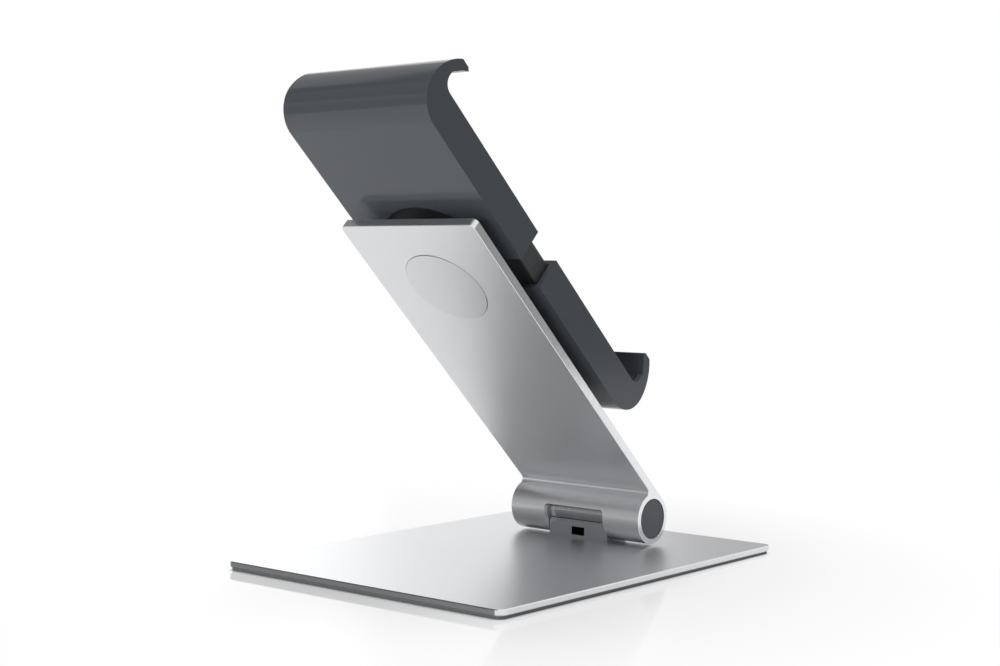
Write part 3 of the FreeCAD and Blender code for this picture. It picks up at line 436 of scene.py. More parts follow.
class RaisedRibs:
    """Geometry Nodes tree that lays rounded ribs side by side."""

    SIZES = ("Pitch", "Width", "Height", "Length")
    BAR_FACES = 12

    def __init__(self) -> None:
        """Build the tree: one bar, set out in a row, made real and given its material."""
        self.tree = bpy.data.node_groups.new("raised_ribs", "GeometryNodeTree")
        interface = self.tree.interface
        interface.new_socket("Geometry", in_out="OUTPUT", socket_type="NodeSocketGeometry")
        self.sockets = {"Count": interface.new_socket("Count", in_out="INPUT", socket_type="NodeSocketInt")}
        for name in self.SIZES:
            self.sockets[name] = interface.new_socket(name, in_out="INPUT", socket_type="NodeSocketFloat")
        self.sockets["Material"] = interface.new_socket("Material", in_out="INPUT",
                                                        socket_type="NodeSocketMaterial")
        given = add_node(self.tree, "NodeGroupInput").outputs
        row = add_node(self.tree, "GeometryNodeInstanceOnPoints", {}, {
            "Points": self.row(given), "Instance": self.bar(given)})
        real = add_node(self.tree, "GeometryNodeRealizeInstances", {}, {"Geometry": row.outputs["Instances"]})
        dressed = add_node(self.tree, "GeometryNodeSetMaterial", {}, {
            "Geometry": real.outputs["Geometry"], "Material": given["Material"]})
        add_node(self.tree, "NodeGroupOutput", {}, {"Geometry": dressed.outputs["Geometry"]})

    def row(self, given: bpy.types.NodeOutputs) -> bpy.types.NodeSocket:
        """Points that the ribs sit on.

        Args:
            given: The tree's inputs.

        Returns:
            A row of points, a pitch apart, with its middle at the origin.
        """
        step = add_node(self.tree, "ShaderNodeCombineXYZ", {}, {"Y": given["Pitch"]})
        runs = add_node(self.tree, "ShaderNodeMath", {"operation": "SUBTRACT"}, {
            "Value": given["Count"], "Value_001": 1.0})
        reach = add_node(self.tree, "ShaderNodeMath", {"operation": "MULTIPLY"}, {
            "Value": runs.outputs["Value"], "Value_001": given["Pitch"]})
        start = add_node(self.tree, "ShaderNodeMath", {"operation": "MULTIPLY"}, {
            "Value": reach.outputs["Value"], "Value_001": -0.5})
        first = add_node(self.tree, "ShaderNodeCombineXYZ", {}, {"Y": start.outputs["Value"]})
        return add_node(self.tree, "GeometryNodeMeshLine", {}, {
            "Count": given["Count"], "Start Location": first.outputs["Vector"],
            "Offset": step.outputs["Vector"]}).outputs["Mesh"]

    def bar(self, given: bpy.types.NodeOutputs) -> bpy.types.NodeSocket:
        """One rib, half of it below the surface that it stands on.

        Args:
            given: The tree's inputs.

        Returns:
            A closed bar of oval section along the first axis.
        """
        ends = []
        for share in (-0.5, 0.5):
            reach = add_node(self.tree, "ShaderNodeMath", {"operation": "MULTIPLY"}, {
                "Value": given["Length"], "Value_001": share})
            ends.append(add_node(self.tree, "ShaderNodeCombineXYZ", {}, {"X": reach.outputs["Value"]}))
        line = add_node(self.tree, "GeometryNodeCurvePrimitiveLine", {}, {
            "Start": ends[0].outputs["Vector"], "End": ends[1].outputs["Vector"]})
        ring = add_node(self.tree, "GeometryNodeCurvePrimitiveCircle", {}, {
            "Resolution": self.BAR_FACES, "Radius": 1.0})
        round_bar = add_node(self.tree, "GeometryNodeCurveToMesh", {}, {
            "Curve": line.outputs["Curve"], "Profile Curve": ring.outputs["Curve"], "Fill Caps": True})
        half_width = add_node(self.tree, "ShaderNodeMath", {"operation": "MULTIPLY"}, {
            "Value": given["Width"], "Value_001": 0.5})
        oval = add_node(self.tree, "ShaderNodeCombineXYZ", {}, {
            "X": 1.0, "Y": half_width.outputs["Value"], "Z": given["Height"]})
        return add_node(self.tree, "GeometryNodeTransform", {}, {
            "Geometry": round_bar.outputs["Mesh"], "Scale": oval.outputs["Vector"]}).outputs["Geometry"]

    def lay(self, name: str, **values: Any) -> bpy.types.Mesh:
        """Lay the ribs.

        Args:
            name: Name of the mesh.
            **values: Value of each input by its name, in small letters.

        Returns:
            The ribs as a plain mesh.
        """
        owner = linked(name, bpy.data.meshes.new(name))
        modifier = owner.modifiers.new("ribs", "NODES")
        modifier.node_group = self.tree
        for key, value in values.items():
            modifier[self.sockets[key.capitalize()].identifier] = value
        mesh = baked(owner)
        bpy.data.objects.remove(owner)
        return mesh


# Finishes

def linear(colour: str) -> tuple[float, float, float, float]:
    """Turn an sRGB hex value to linear light.

    Args:
        colour: Six hex digits after a hash sign.

    Returns:
        Red, green, blue and alpha.
    """
    parts = [int(colour[start:start + 2], 16) / 255 for start in (1, 3, 5)]
    # The numbers are those of the sRGB standard's own curve.
    red, green, blue = (part / 12.92 if part <= 0.04045 else ((part + 0.055) / 1.055) ** 2.4
                        for part in parts)
    return red, green, blue, 1.0


def per_metre(millimetres: float) -> float:
    """Scale of a pattern whose features are of this size."""
    return 1.0 / (millimetres * MILLIMETRE)


def bare_tree(owner: bpy.types.Material | bpy.types.World) -> bpy.types.NodeTree:
    """Empty the node tree of a new material or world.

    Args:
        owner: The material or world.

    Returns:
        Its tree.
    """
    owner.use_nodes = True
    owner.node_tree.nodes.clear()
    return owner.node_tree


def add_node(tree: bpy.types.NodeTree, kind: str, settings: Mapping[str, Any] | None = None,
             inputs: Mapping[str, Any] | None = None) -> bpy.types.Node:
    """Add a node.

    Args:
        tree: The tree to add it to.
        kind: The node's type.
        settings: Its properties.
        inputs: Values or links by the socket's identifier or name.

    Returns:
        The node.
    """
    node = tree.nodes.new(kind)
    for name, value in (settings or {}).items():
        setattr(node, name, value)
    for name, value in (inputs or {}).items():
        socket = next((item for item in node.inputs if item.identifier == name), None) or node.inputs[name]
        if isinstance(value, bpy.types.NodeSocket):
            tree.links.new(value, socket)
        else:
            socket.default_value = value
    return node


@dataclass(frozen=True)
class Finish:
    """A surface: what it is made of and how it was made.

    The grain's width and depth and the width of the clouds of tone are in millimetres. The spreads say how
    far tone and roughness go each way, the tone as a share of the colour.
    """

    name: str
    colour: str
    roughness: float
    metallic: float = 0.0
    grain: float = 0.4
    grain_depth: float = 0.01
    cloud: float = 18.0
    tone_spread: float = 0.03
    roughness_spread: float = 0.04

    # Levels that the grain's noise seldom leaves, so that the gloss uses the whole of its spread.
    GRAIN_LOW, GRAIN_HIGH = 0.3, 0.7

    def coordinates(self, tree: bpy.types.NodeTree) -> bpy.types.NodeSocket:
        """Where the pattern is read."""
        return add_node(tree, "ShaderNodeTexCoord").outputs["Object"]

    def relief(self, tree: bpy.types.NodeTree, place: bpy.types.NodeSocket) -> bpy.types.NodeSocket:
        """Height of the surface's fine relief.

        Args:
            tree: The material's tree.
            place: Coordinates to read it at.

        Returns:
            Height from 0 to 1.
        """
        return add_node(tree, "ShaderNodeTexNoise", {}, {
            "Vector": place, "Scale": per_metre(self.grain), "Detail": 2.0, "Roughness": 0.6}).outputs["Fac"]

    def extras(self) -> dict[str, Any]:
        """Further fixed values of the shader."""
        return {}

    def build(self) -> bpy.types.Material:
        """Make the material.

        Returns:
            A material with a broad cloud of tone, an uneven gloss and a fine relief.
        """
        material = bpy.data.materials.new(self.name)
        tree = bare_tree(material)
        place = self.coordinates(tree)
        cloud = add_node(tree, "ShaderNodeTexNoise", {}, {
            "Vector": place, "Scale": per_metre(self.cloud), "Detail": 4.0, "Roughness": 0.55}).outputs["Fac"]
        darker, lighter = ((*(min(1.0, part * share) for part in linear(self.colour)[:3]), 1.0)
                           for share in (1 - self.tone_spread, 1 + self.tone_spread))
        tone = add_node(tree, "ShaderNodeMix", {"data_type": "RGBA"}, {
            "Factor_Float": cloud, "A_Color": darker, "B_Color": lighter})
        height = self.relief(tree, place)
        gloss = add_node(tree, "ShaderNodeMapRange", {}, {
            "Value": height, "From Min": self.GRAIN_LOW, "From Max": self.GRAIN_HIGH,
            "To Min": self.roughness - self.roughness_spread,
            "To Max": self.roughness + self.roughness_spread})
        bump = add_node(tree, "ShaderNodeBump", {}, {
            "Height": height, "Strength": 1.0, "Distance": self.grain_depth * MILLIMETRE})
        shader = add_node(tree, "ShaderNodeBsdfPrincipled", {}, {
            "Base Color": next(item for item in tone.outputs if item.identifier == "Result_Color"),
            "Roughness": gloss.outputs["Result"], "Metallic": self.metallic, "Normal": bump.outputs["Normal"],
            **self.extras()})
        add_node(tree, "ShaderNodeOutputMaterial", {}, {"Surface": shader.outputs["BSDF"]})
        return material


@dataclass(frozen=True)
class BlastedMetal(Finish):
    """Metal with an even grain, blasted with fine beads or pressed: a soft and silky gloss."""

    metallic: float = 1.0


@dataclass(frozen=True)
class TurnedMetal(Finish):
    """Metal turned, ground or milled: fine lines round the axis that runs across the stand.

    The lines are so many times longer than they are wide.
    """

    metallic: float = 1.0
    run: float = 40.0

    def coordinates(self, tree: bpy.types.NodeTree) -> bpy.types.NodeSocket:
        """Where the pattern is read, drawn out round the axis so that it becomes rings.

        Args:
            tree: The material's tree.

        Returns:
            The coordinates.
        """
        place = super().coordinates(tree)
        stretch = (1.0, 1.0 / self.run, 1.0 / self.run)
        return add_node(tree, "ShaderNodeMapping", {}, {"Vector": place, "Scale": stretch}).outputs["Vector"]


@dataclass(frozen=True)
class MouldedPlastic(Finish):
    """Glass-filled plastic from a finely eroded mould: satin, with a faint cloudy gloss."""

    ior: float = 1.5

    def extras(self) -> dict[str, Any]:
        """Refraction of a filled plastic."""
        return {"IOR": self.ior}


@dataclass(frozen=True)
class SoftRubber(Finish):
    """Silicone or cellular rubber: matt and dark, with a velvety edge."""

    ior: float = 1.45
    sheen: float = 0.15
    sheen_roughness: float = 0.4

    def extras(self) -> dict[str, Any]:
        """Typical refraction of rubber, and the bloom on its surface."""
        return {"IOR": self.ior, "Sheen Weight": self.sheen, "Sheen Roughness": self.sheen_roughness}


@dataclass(frozen=True)
class MachinedAcetal(Finish):
    """Natural acetal: milky white, with a little light inside it, which spreads so many millimetres."""

    ior: float = 1.48
    glow: float = 0.2
    glow_reach: float = 1.0

    def extras(self) -> dict[str, Any]:
        """Refraction of acetal, and the light that spreads inside it."""
        return {"IOR": self.ior, "Subsurface Weight": self.glow,
                "Subsurface Scale": self.glow_reach * MILLIMETRE}


# Each finish by the name of its slot in the record. A grain too fine to show is drawn coarser: bead marks are
# about 0.1 mm across and are drawn at 0.35 mm, and a mould's erosion of 0.05 mm is drawn at 0.3 mm.
FINISHES: dict[str, Finish] = {
    # Clear anodised 6000-series aluminium plate: pale grey, reflections blurred to soft fields of tone.
    "blasted_aluminium": BlastedMetal("blasted_anodised_aluminium", "#E4E5E7", 0.34, grain=0.35,
                                      grain_depth=0.004, tone_spread=0.015, roughness_spread=0.02),
    # The same metal anodised grey: darker and a little duller, so that the block stands out from the plate.
    "hinge_aluminium": BlastedMetal("grey_anodised_aluminium", "#9A9CA0", 0.42, grain=0.35,
                                    grain_depth=0.005),
    # Ground and turned stainless steel: shinier than the aluminium, with fine rings.
    "steel": TurnedMetal("turned_stainless_steel", "#ABAEB0", 0.24, grain=0.25, grain_depth=0.003),
    # Zinc-plated screws with a black chromate: dark, slightly blotchy.
    "screw_steel": TurnedMetal("black_zinc_plated_steel", "#4A4B4D", 0.38, grain=0.3, grain_depth=0.004,
                               run=4.0),
    # Glass-filled polyamide from a polished mould, dark blue-grey: it mirrors the arm and the floor, and a
    # light line runs along each round.
    "dark_plastic": MouldedPlastic("satin_grey_polyamide", "#474B50", 0.13, grain=0.3, grain_depth=0.0012,
                                   tone_spread=0.02, roughness_spread=0.02, ior=1.42),
    # The same plastic in near black, from a coarser mould: matt, with soft highlights.
    "black_plastic": MouldedPlastic("matt_black_polyamide", "#232426", 0.48, grain=0.35, grain_depth=0.008),
    # ABS plugs and bushes, grey and finely matt.
    "grey_plastic": MouldedPlastic("matt_grey_abs", "#54585B", 0.55, grain=0.3, grain_depth=0.006),
    # Acetal cut from natural stock: milky, with soft light in its edges.
    "acetal": MachinedAcetal("natural_acetal", "#DEDCD2", 0.35, grain=0.4, grain_depth=0.004),
    # Silicone pads and liners: nearly black, no shine.
    "rubber": SoftRubber("black_silicone_rubber", "#1E1F21", 0.72, grain=0.5, grain_depth=0.02),
    # Cellular rubber sheet under the base: mid grey and dull, with fine open pores at the cut edge.
    "foot_rubber": SoftRubber("grey_cellular_rubber", "#6E7173", 0.85, grain=0.6, grain_depth=0.05),
}
# Bevels cut with a diamond after anodising: bright, almost a mirror.
CUT_BEVEL = TurnedMetal("diamond_cut_aluminium", "#E4E5E6", 0.2, grain=0.4, grain_depth=0.001, run=30.0,
                        roughness_spread=0.02)
# The base plate's two ends are rougher than its long sides, and darker as painted shade.
PLATE_END_PAINTED_SHADE = BlastedMetal("sawn_aluminium_end", "#8E9092", 0.42, grain=0.3, grain_depth=0.008)
# The arm's two sides are milled after blasting: they mirror the table and the room, with a fine grain.
MILLED_SIDE = TurnedMetal("milled_aluminium_side", "#E6E7E9", 0.14, grain=0.3, grain_depth=0.003, run=8.0,
                          roughness_spread=0.03)
# The hub is coloured lighter than the jaws as painted light, so that it shows in their shade.
HUB_PAINTED_LIGHT = MouldedPlastic("satin_light_grey_polyamide", "#84888D", 0.3, grain=0.3, grain_depth=0.002)
# The cap is blasted a little coarser than the arm, and coloured a shade darker as painted shade.
CAP_PAINTED_SHADE = BlastedMetal("coarsely_blasted_aluminium", "#DEDFE0", 0.36, grain=0.35, grain_depth=0.006)
# The bushes are pressed and sintered: dull grey, a little porous, so that little tells them from the barrel.
BUSH_METAL = BlastedMetal("sintered_steel", "#A2A5A8", 0.45, grain=0.3, grain_depth=0.008)
# The room behind the lock slot and a strip of the groove under the shaft are painted near black: painted
# shade.
CHAMBER_PAINTED_SHADE = BlastedMetal("black_anodised_aluminium", "#08090A", 0.5, grain=0.3, grain_depth=0.004)


@dataclass
class Palette:
    """The stand's materials, each made once."""

    made: dict[str, bpy.types.Material] = field(default_factory=dict)

    def of(self, finish: Finish) -> bpy.types.Material:
        """Material of a finish, made when it is first asked for.

        Args:
            finish: The finish.

        Returns:
            The material.
        """
        if finish.name not in self.made:
            self.made[finish.name] = finish.build()
        return self.made[finish.name]

    def slot(self, name: str) -> bpy.types.Material:
        """Material of one of the record's slots."""
        return self.of(FINISHES[name])


# The stand

@dataclass(frozen=True)
class StandFrame:
    """Places of the sub-assemblies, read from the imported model."""

    nodes: Mapping[str, bpy.types.Object]
    joints: Mapping[str, Mapping[str, Any]]
    slots: Mapping[str, str]
    bodies: Mapping[str, str]

    @classmethod
    def read(cls, frame: Mapping[str, Any]) -> "StandFrame":
        """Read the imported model.


        Returns:
            The stand's frame.
        """
        record = frame["record"]
        return cls(
            nodes=frame["nodes"],
            joints={joint["name"]: joint for joint in record["behaviour"]["joints"]},
            slots={part["node"]: part["material_slot"] for part in record["subparts"]},
            bodies={node: body for body, nodes in record["behaviour"]["bodies"].items() for node in nodes},
        )

    @property
    def hinge(self) -> Vector:
        """Middle of the tilt axis."""
        return Vector(self.joints["arm_tilt"]["pos_m"])

    @property
    def along(self) -> Vector:
        """Direction along the arm, upwards."""
        return Vector(self.joints["upper_jaw_slide"]["axis"]).normalized()

    @property
    def out(self) -> Vector:
        """Direction out of the arm's front face."""
        return Vector(self.joints["holder_swivel"]["axis"]).normalized()

    @property
    def pivot(self) -> Vector:
        """Place of the swivel at the height of the tilt axis."""
        return Vector(self.joints["holder_swivel"]["pos_m"])

    @property
    def pivot_reach(self) -> float:
        """Tilt axis to the swivel's centre, in millimetres."""
        return (self.pivot - self.hinge).dot(self.along) / MILLIMETRE

    @property
    def rest_opening(self) -> float:
        """How far each jaw is out from its closed place, in metres."""
        return -self.joints["upper_jaw_slide"]["range_m"][0]

    @staticmethod
    def seat(place: Vector, across: Vector, along: Vector, out: Vector) -> Matrix:
        """Place and scale of a sub-assembly's frame.

        Args:
            place: Its origin, in metres.
            across: Its first direction.
            along: Its second direction.
            out: Its third direction.

        Returns:
            Matrix from its millimetres to the model's metres.
        """
        turn = Matrix((across, along, out)).transposed().to_4x4()
        return Matrix.Translation(place) @ turn @ Matrix.Scale(MILLIMETRE, 4)

    def level_seat(self, place: Vector) -> Matrix:
        """Frame of what stands level."""
        return self.seat(place, Vector((1, 0, 0)), Vector((0, 1, 0)), Vector((0, 0, 1)))

    def arm_seat(self) -> Matrix:
        """Frame of the arm: across, along the arm from the tilt axis, and out of its front face."""
        return self.seat(self.hinge, Vector((1, 0, 0)), self.along, self.out)

    def jaw_seat(self, side: Side) -> Matrix:
        """Frame of a jaw: as the arm's, from the closing edge outwards."""
        place = self.pivot + side.value * self.rest_opening * self.along
        return self.seat(place, side.value * Vector((1, 0, 0)), side.value * self.along, self.out)


@dataclass
class SubAssembly:
    """Pieces of the stand that are made together."""

    stand: StandFrame
    palette: Palette

    def material(self, node: str) -> bpy.types.Material:
        """Material of a node's slot in the record."""
        return self.palette.slot(self.stand.slots[node])

    def fit(self, piece: bpy.types.Object, node: str) -> None:
        """Put a finished piece in place of a node.

        Args:
            piece: The piece.
            node: The node that it stands for.
        """
        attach(piece, self.stand.bodies[node])
        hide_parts(node)
        LOG.info("%s for %s, %d faces", piece.name, node, len(piece.data.polygons))

    def carry(self, name: str, node: str, width: float, finish: Finish | None = None) -> None:
        """Make a piece with a node's own shape and eased edges.

        Args:
            name: Name of the piece.
            node: The node.
            width: Width of the edges' rounding, in millimetres, or 0 for none.
            finish: Its finish, or None for that of the node's slot.
        """
        material = self.palette.of(finish) if finish else self.material(node)
        work = Workpiece.carried(name, self.stand.nodes[node], material)
        if width > 0.0:
            work.ease(width * MILLIMETRE, anywhere, least_turn=40.0)
        self.fit(work.finished(Matrix.Identity(4)), node)


@dataclass
class Base(SubAssembly):
    """Plate on its foot pad, with the block and the shaft that the arm tilts about.

    Heights of plate and axis count from the table, and those of block, slot and chamber from the block's
    underside. The painted shade in the lock chamber and the shaft's groove reaches in from the block's rear
    as far as its depth says.
    """

    half_width: float = 77.5
    half_depth: float = 97.5
    plate_low: float = 1.5
    plate_high: float = 4.0
    plate_corner: float = 4.5
    plate_bevel: float = 0.35
    pad_inset: float = 1.0
    pad_edge: float = 0.15
    screw_spacing: float = 20.0
    screw_hole: float = 2.25
    screw_seat: float = 4.2
    screw_seat_depth: float = 0.95
    axis_height: float = 12.2
    block_half_width: float = 16.9
    block_half_depth: float = 7.5
    block_height: float = 8.65
    block_slope_height: float = 1.9
    block_slope_depth: float = 0.8
    block_edge: float = 0.25
    seat_radius: float = 8.0
    seat_lift: float = 0.5
    seat_reach: float = 40.0
    slot_half_width: float = 3.7
    slot_low: float = 1.5
    slot_high: float = 5.3
    slot_corner: float = 0.3
    slot_edge: float = 0.12
    slot_overlap: float = 0.5
    slot_wall: float = 1.2
    chamber_half_width: float = 5.9
    chamber_depth: float = 2.0
    chamber_height: float = 5.5
    coat_depth: float = 4.0
    shaft_edge: float = 0.3

    def build(self) -> None:
        """Make every piece of the base."""
        self.plate()
        self.pad()
        self.block()
        self.carry("turned_hinge_shaft", "hinge_shaft", self.shaft_edge)

    def plate(self) -> None:
        """Flat plate with bright bevels round both faces and the hinge screws' holes below."""
        outline = rounded_rectangle((-self.half_width, -self.half_depth), (self.half_width, self.half_depth),
                                    self.plate_corner, steps=10)
        work = Workpiece.prism("bevelled_base_plate", outline, Axis.OUT, self.plate_low, self.plate_high,
                               self.material("base_plate"))
        work.ease(self.plate_bevel, anywhere, segments=1, least_turn=60.0,
                  material=self.palette.of(CUT_BEVEL))
        # Painted shade on both ends, and on their bevels above and below, through the rougher end finish.
        shaded_end_start = self.half_depth - self.plate_bevel
        for turn in (-1, 1):
            for lean in (-1, 0, 1):
                work.paint(self.palette.of(PLATE_END_PAINTED_SHADE), lambda x, y, z: abs(y) > shaded_end_start,
                           Vector((0, turn, lean)).normalized())
        low, high = self.plate_low - OVER, self.plate_high + OVER
        profile = [(0.0, low), (self.screw_seat + OVER, low),
                   (self.screw_hole, self.plate_low + self.screw_seat_depth), (self.screw_hole, high),
                   (0.0, high)]
        reach = self.stand.hinge.y / MILLIMETRE
        work.cut(*(Workpiece.turned("countersink", profile, Axis.OUT, (across, reach), SCREW_ROUND)
                   for across in (-self.screw_spacing / 2, self.screw_spacing / 2)))
        self.fit(work.finished(self.stand.level_seat(Vector((0, 0, 0)))), "base_plate")

    def pad(self) -> None:
        """Thin sheet under the plate, cut a little smaller."""
        half_width, half_depth = self.half_width - self.pad_inset, self.half_depth - self.pad_inset
        outline = rounded_rectangle((-half_width, -half_depth), (half_width, half_depth),
                                    self.plate_corner - self.pad_inset, steps=8)
        work = Workpiece.prism("cut_foot_pad", outline, Axis.OUT, 0.0, self.plate_low,
                               self.material("base_pad"))
        work.ease(self.pad_edge, lambda x, y, z: z < HAIR, least_turn=60.0)
        self.fit(work.finished(self.stand.level_seat(Vector((0, 0, 0)))), "base_pad")

    def block(self) -> None:
        """Block with sloping shoulders, hollowed for the shaft, with a lock slot in its rear."""
        floor = -self.axis_height
        top = self.block_height - self.axis_height
        shoulder = top - self.block_slope_height
        inner = self.block_half_depth - self.block_slope_depth
        deep = self.block_half_depth
        outline = [(deep, floor), (deep, shoulder), (inner, top),
                   (-inner, top), (-deep, shoulder), (-deep, floor)]
        work = Workpiece.prism("slotted_hinge_block", outline, Axis.ACROSS, -self.block_half_width,
                               self.block_half_width, self.material("hinge_block"))
        work.ease(self.block_edge, lambda x, y, z: z > floor + HAIR, least_turn=15.0)
        rear = deep - self.slot_wall
        work.cut(
            Workpiece.prism("shaft_seat", circle((0, self.seat_lift), self.seat_radius, BORE_ROUND),
                            Axis.ACROSS, -self.seat_reach, self.seat_reach),
            Workpiece.prism("lock_chamber", rectangle((-self.chamber_half_width, rear - self.chamber_depth),
                                                      (self.chamber_half_width, rear)),
                            Axis.OUT, floor - OVER, floor + self.chamber_height),
            Workpiece.prism("lock_slot", rounded_rectangle((-self.slot_half_width, floor + self.slot_low),
                                                           (self.slot_half_width, floor + self.slot_high),
                                                           self.slot_corner, steps=4),
                            Axis.ALONG, rear - self.slot_overlap, deep + OVER),
        )
        work.ease(self.slot_edge, lambda x, y, z: y > deep - HAIR and abs(x) < self.slot_half_width + HAIR
                  and z > floor + HAIR)
        # Painted shade: the chamber, the slot's inner walls and a strip of the shaft's groove are painted
        # near black.
        work.paint(self.palette.of(CHAMBER_PAINTED_SHADE), lambda x, y, z: abs(x) < self.chamber_half_width + HAIR
                   and deep - self.coat_depth < y < deep - NEAR and z < shoulder)
        self.fit(work.finished(self.stand.level_seat(self.stand.hinge)), "hinge_block")


@dataclass
class Arm(SubAssembly):
    """Blade with the barrel along its lower edge, the barrel's plugs and the cap over the swivel.

    Reaches along the arm and out of its front face count from the hinge axis. The notch is a wedge about that
    axis, from one angle to the other in degrees, and the front of the arm lies at 90 degrees.
    """

    half_width: float = 37.3
    length: float = 183.2
    rear: float = 7.4
    front: float = 11.5
    barrel: float = 11.5
    bore: float = 9.2
    bore_reach: float = 50.0
    fillet: float = 2.2
    top_corner: float = 2.6
    bevel: float = 0.2
    notch_half_width: float = 17.1
    notch_rear: float = -28.2
    notch_front: float = 110.3
    notch_corner: float = 1.8
    notch_reach: float = 17.25
    notch_end: float = 16.0
    worked_edge: float = 0.18
    bore_margin: float = 0.3
    cap_radius: float = 19.4
    cap_offset: float = 1.0
    cap_gap: float = 0.18
    cap_height: float = 0.35
    cap_thickness: float = 0.8
    cap_edge: float = 0.12
    clamp_recess: float = 17.5
    web_rear: float = 10.2
    boss_hole: float = 11.05
    plug_radius: float = 9.15
    plug_face: float = 37.0
    plug_depth: float = 5.0
    plug_wall: float = 1.4
    plug_rim: tuple[Point, ...] = ((0.4, 0.0), (0.1, 0.12), (0.0, 0.4))

    def build(self) -> None:
        """Make every piece of the arm."""
        self.blade()
        self.cap()
        for side in ("left", "right"):
            self.carry(f"sintered_bush_{side}", f"hinge_bush_{side}", 0.0, BUSH_METAL)
        for turn, node in ((1, "end_plug_left"), (-1, "end_plug_right")):
            self.plug(turn, node)

    @property
    def cap_centre(self) -> Point:
        """Centre of the round cap, a little above the swivel's."""
        return 0.0, self.stand.pivot_reach + self.cap_offset

    def section(self) -> list[Point]:
        """Section of blade and barrel in one line, with the hollow between them.

        Returns:
            Points as (along the arm, out of its front face).
        """
        across_hollow = self.rear - self.fillet
        root = math.sqrt((self.barrel + self.fillet) ** 2 - across_hollow ** 2)
        meeting = math.degrees(math.atan2(across_hollow, root))
        barrel = arc((0.0, 0.0), self.barrel, 90.0, 360.0 + meeting, steps=66)
        hollow = arc((root, across_hollow), self.fillet, 180.0 + meeting, 90.0, steps=8)
        return [(self.length, self.front), *barrel, *hollow, (self.length, self.rear)]

    def blade(self) -> None:
        """Blade and barrel with bright bevels, bored, notched and recessed for the swivel."""
        work = Workpiece.prism("blasted_arm", self.section(), Axis.ACROSS, -self.half_width, self.half_width,
                               self.material("arm"))
        side, end = self.half_width - HAIR, self.length - HAIR
        work.ease(self.top_corner, lambda x, s, n: abs(x) > side and s > end, segments=10)
        bend = self.half_width - self.top_corner
        work.ease(self.bevel, lambda x, s, n: abs(x) > bend or s > end, segments=1, least_turn=50.0,
                  material=self.palette.of(CUT_BEVEL))
        for turn in (-1, 1):
            work.paint(self.palette.of(MILLED_SIDE), anywhere, Vector((turn, 0, 0)))
        pivot = (0.0, self.stand.pivot_reach)
        recess = circle(self.cap_centre, self.cap_radius + self.cap_gap, LARGE_ROUND)
        work.cut(
            Workpiece.prism("bore", circle((0, 0), self.bore, BORE_ROUND), Axis.ACROSS, -self.bore_reach,
                            self.bore_reach),
            self.notch(),
            Workpiece.prism("cap_recess", recess, Axis.OUT, self.rear - OVER, self.rear + self.cap_thickness),
            Workpiece.prism("clamp_recess", circle(pivot, self.clamp_recess, SMALL_ROUND), Axis.OUT,
                            self.rear, self.web_rear),
            Workpiece.prism("boss_hole", circle(pivot, self.boss_hole, SMALL_ROUND), Axis.OUT, self.rear,
                            self.front + OVER),
        )
        work.ease(self.worked_edge, self.is_worked_edge, least_turn=40.0)
        self.fit(work.finished(self.stand.arm_seat()), "arm")

    def notch(self) -> Workpiece:
        """Cutter for the barrel's notch, with the round corners that a mill leaves along its walls.

        Returns:
            The cutter.
        """
        reach = self.notch_reach
        rear, front = ((reach * math.cos(turn), reach * math.sin(turn))
                       for turn in (math.radians(self.notch_rear), math.radians(self.notch_front)))
        outline = [(0.0, 0.0), rear, (reach, -reach), (-reach, -reach), (-reach, reach), front]
        cutter = Workpiece.prism("notch", outline, Axis.ACROSS, -self.notch_half_width, self.notch_half_width)
        cutter.ease(self.notch_corner, lambda x, s, n: abs(math.hypot(s, n) - reach / 2) < HAIR, segments=8)
        return cutter

    def is_worked_edge(self, x: float, s: float, n: float) -> bool:
        """Tell the edges of bore, notch and cap recess, which are broken by hand.

        Args:
            x: Across.
            s: Along the arm.
            n: Out of its front face.

        Returns:
            True for those on the outside.
        """
        radius = math.hypot(s, n)
        at_bore = abs(x) > self.half_width - HAIR and abs(radius - self.bore) < NEAR
        at_notch = (abs(x) < self.notch_half_width + HAIR and radius > self.bore + self.bore_margin
                    and s < self.notch_end)
        from_cap = math.hypot(x, s - self.cap_centre[1])
        at_cap = n < self.rear + HAIR and abs(from_cap - self.cap_radius - self.cap_gap) < NEAR
        return at_bore or at_notch or at_cap

    def cap(self) -> None:
        """Round cap, a little proud of the rear face."""
        low, high = self.rear - self.cap_height, self.rear + self.cap_thickness
        profile = [(0.0, low), (self.cap_radius - self.cap_edge, low), (self.cap_radius, low + self.cap_edge),
                   (self.cap_radius, high), (0.0, high)]
        # Painted shade: the cap is coloured a shade darker than the arm.
        work = Workpiece.turned("blasted_pivot_cap", profile, Axis.OUT, self.cap_centre, LARGE_ROUND,
                                self.palette.of(CAP_PAINTED_SHADE))
        self.fit(work.finished(self.stand.arm_seat(), sharp_turn=50.0), "pivot_cap")

    def plug(self, turn: int, node: str) -> None:
        """Cup-shaped plug in one end of the barrel.

        Args:
            turn: 1 for the end in the direction of +X, -1 for the other.
            node: The node that it stands for.
        """
        face, back = self.plug_face, self.plug_face - self.plug_depth
        inner, floor = self.plug_radius - self.plug_wall, self.plug_face - self.plug_wall
        rim = [(self.plug_radius - inwards, face - down) for inwards, down in self.plug_rim]
        profile = [(0.0, face), *rim, (self.plug_radius, back), (inner, back), (inner, floor), (0.0, floor)]
        work = Workpiece.turned("moulded_" + node, [(radius, turn * reach) for radius, reach in profile],
                                Axis.ACROSS, (0.0, 0.0), SMALL_ROUND, self.material(node))
        self.fit(work.finished(self.stand.arm_seat()), node)


@dataclass
class Holder(SubAssembly):
    """Hub on the arm and the carrier that the jaws slide on."""

    edge: float = 0.15

    def build(self) -> None:
        """Make the pieces of the holder that show."""
        # Painted light: the hub is coloured lighter than the jaws' plastic.
        self.carry("moulded_swivel_hub", "swivel_hub", self.edge, HUB_PAINTED_LIGHT)
        self.carry("moulded_carrier_tray", "carrier_tray", self.edge)
        self.carry("moulded_carrier_cover", "carrier_cover", self.edge)


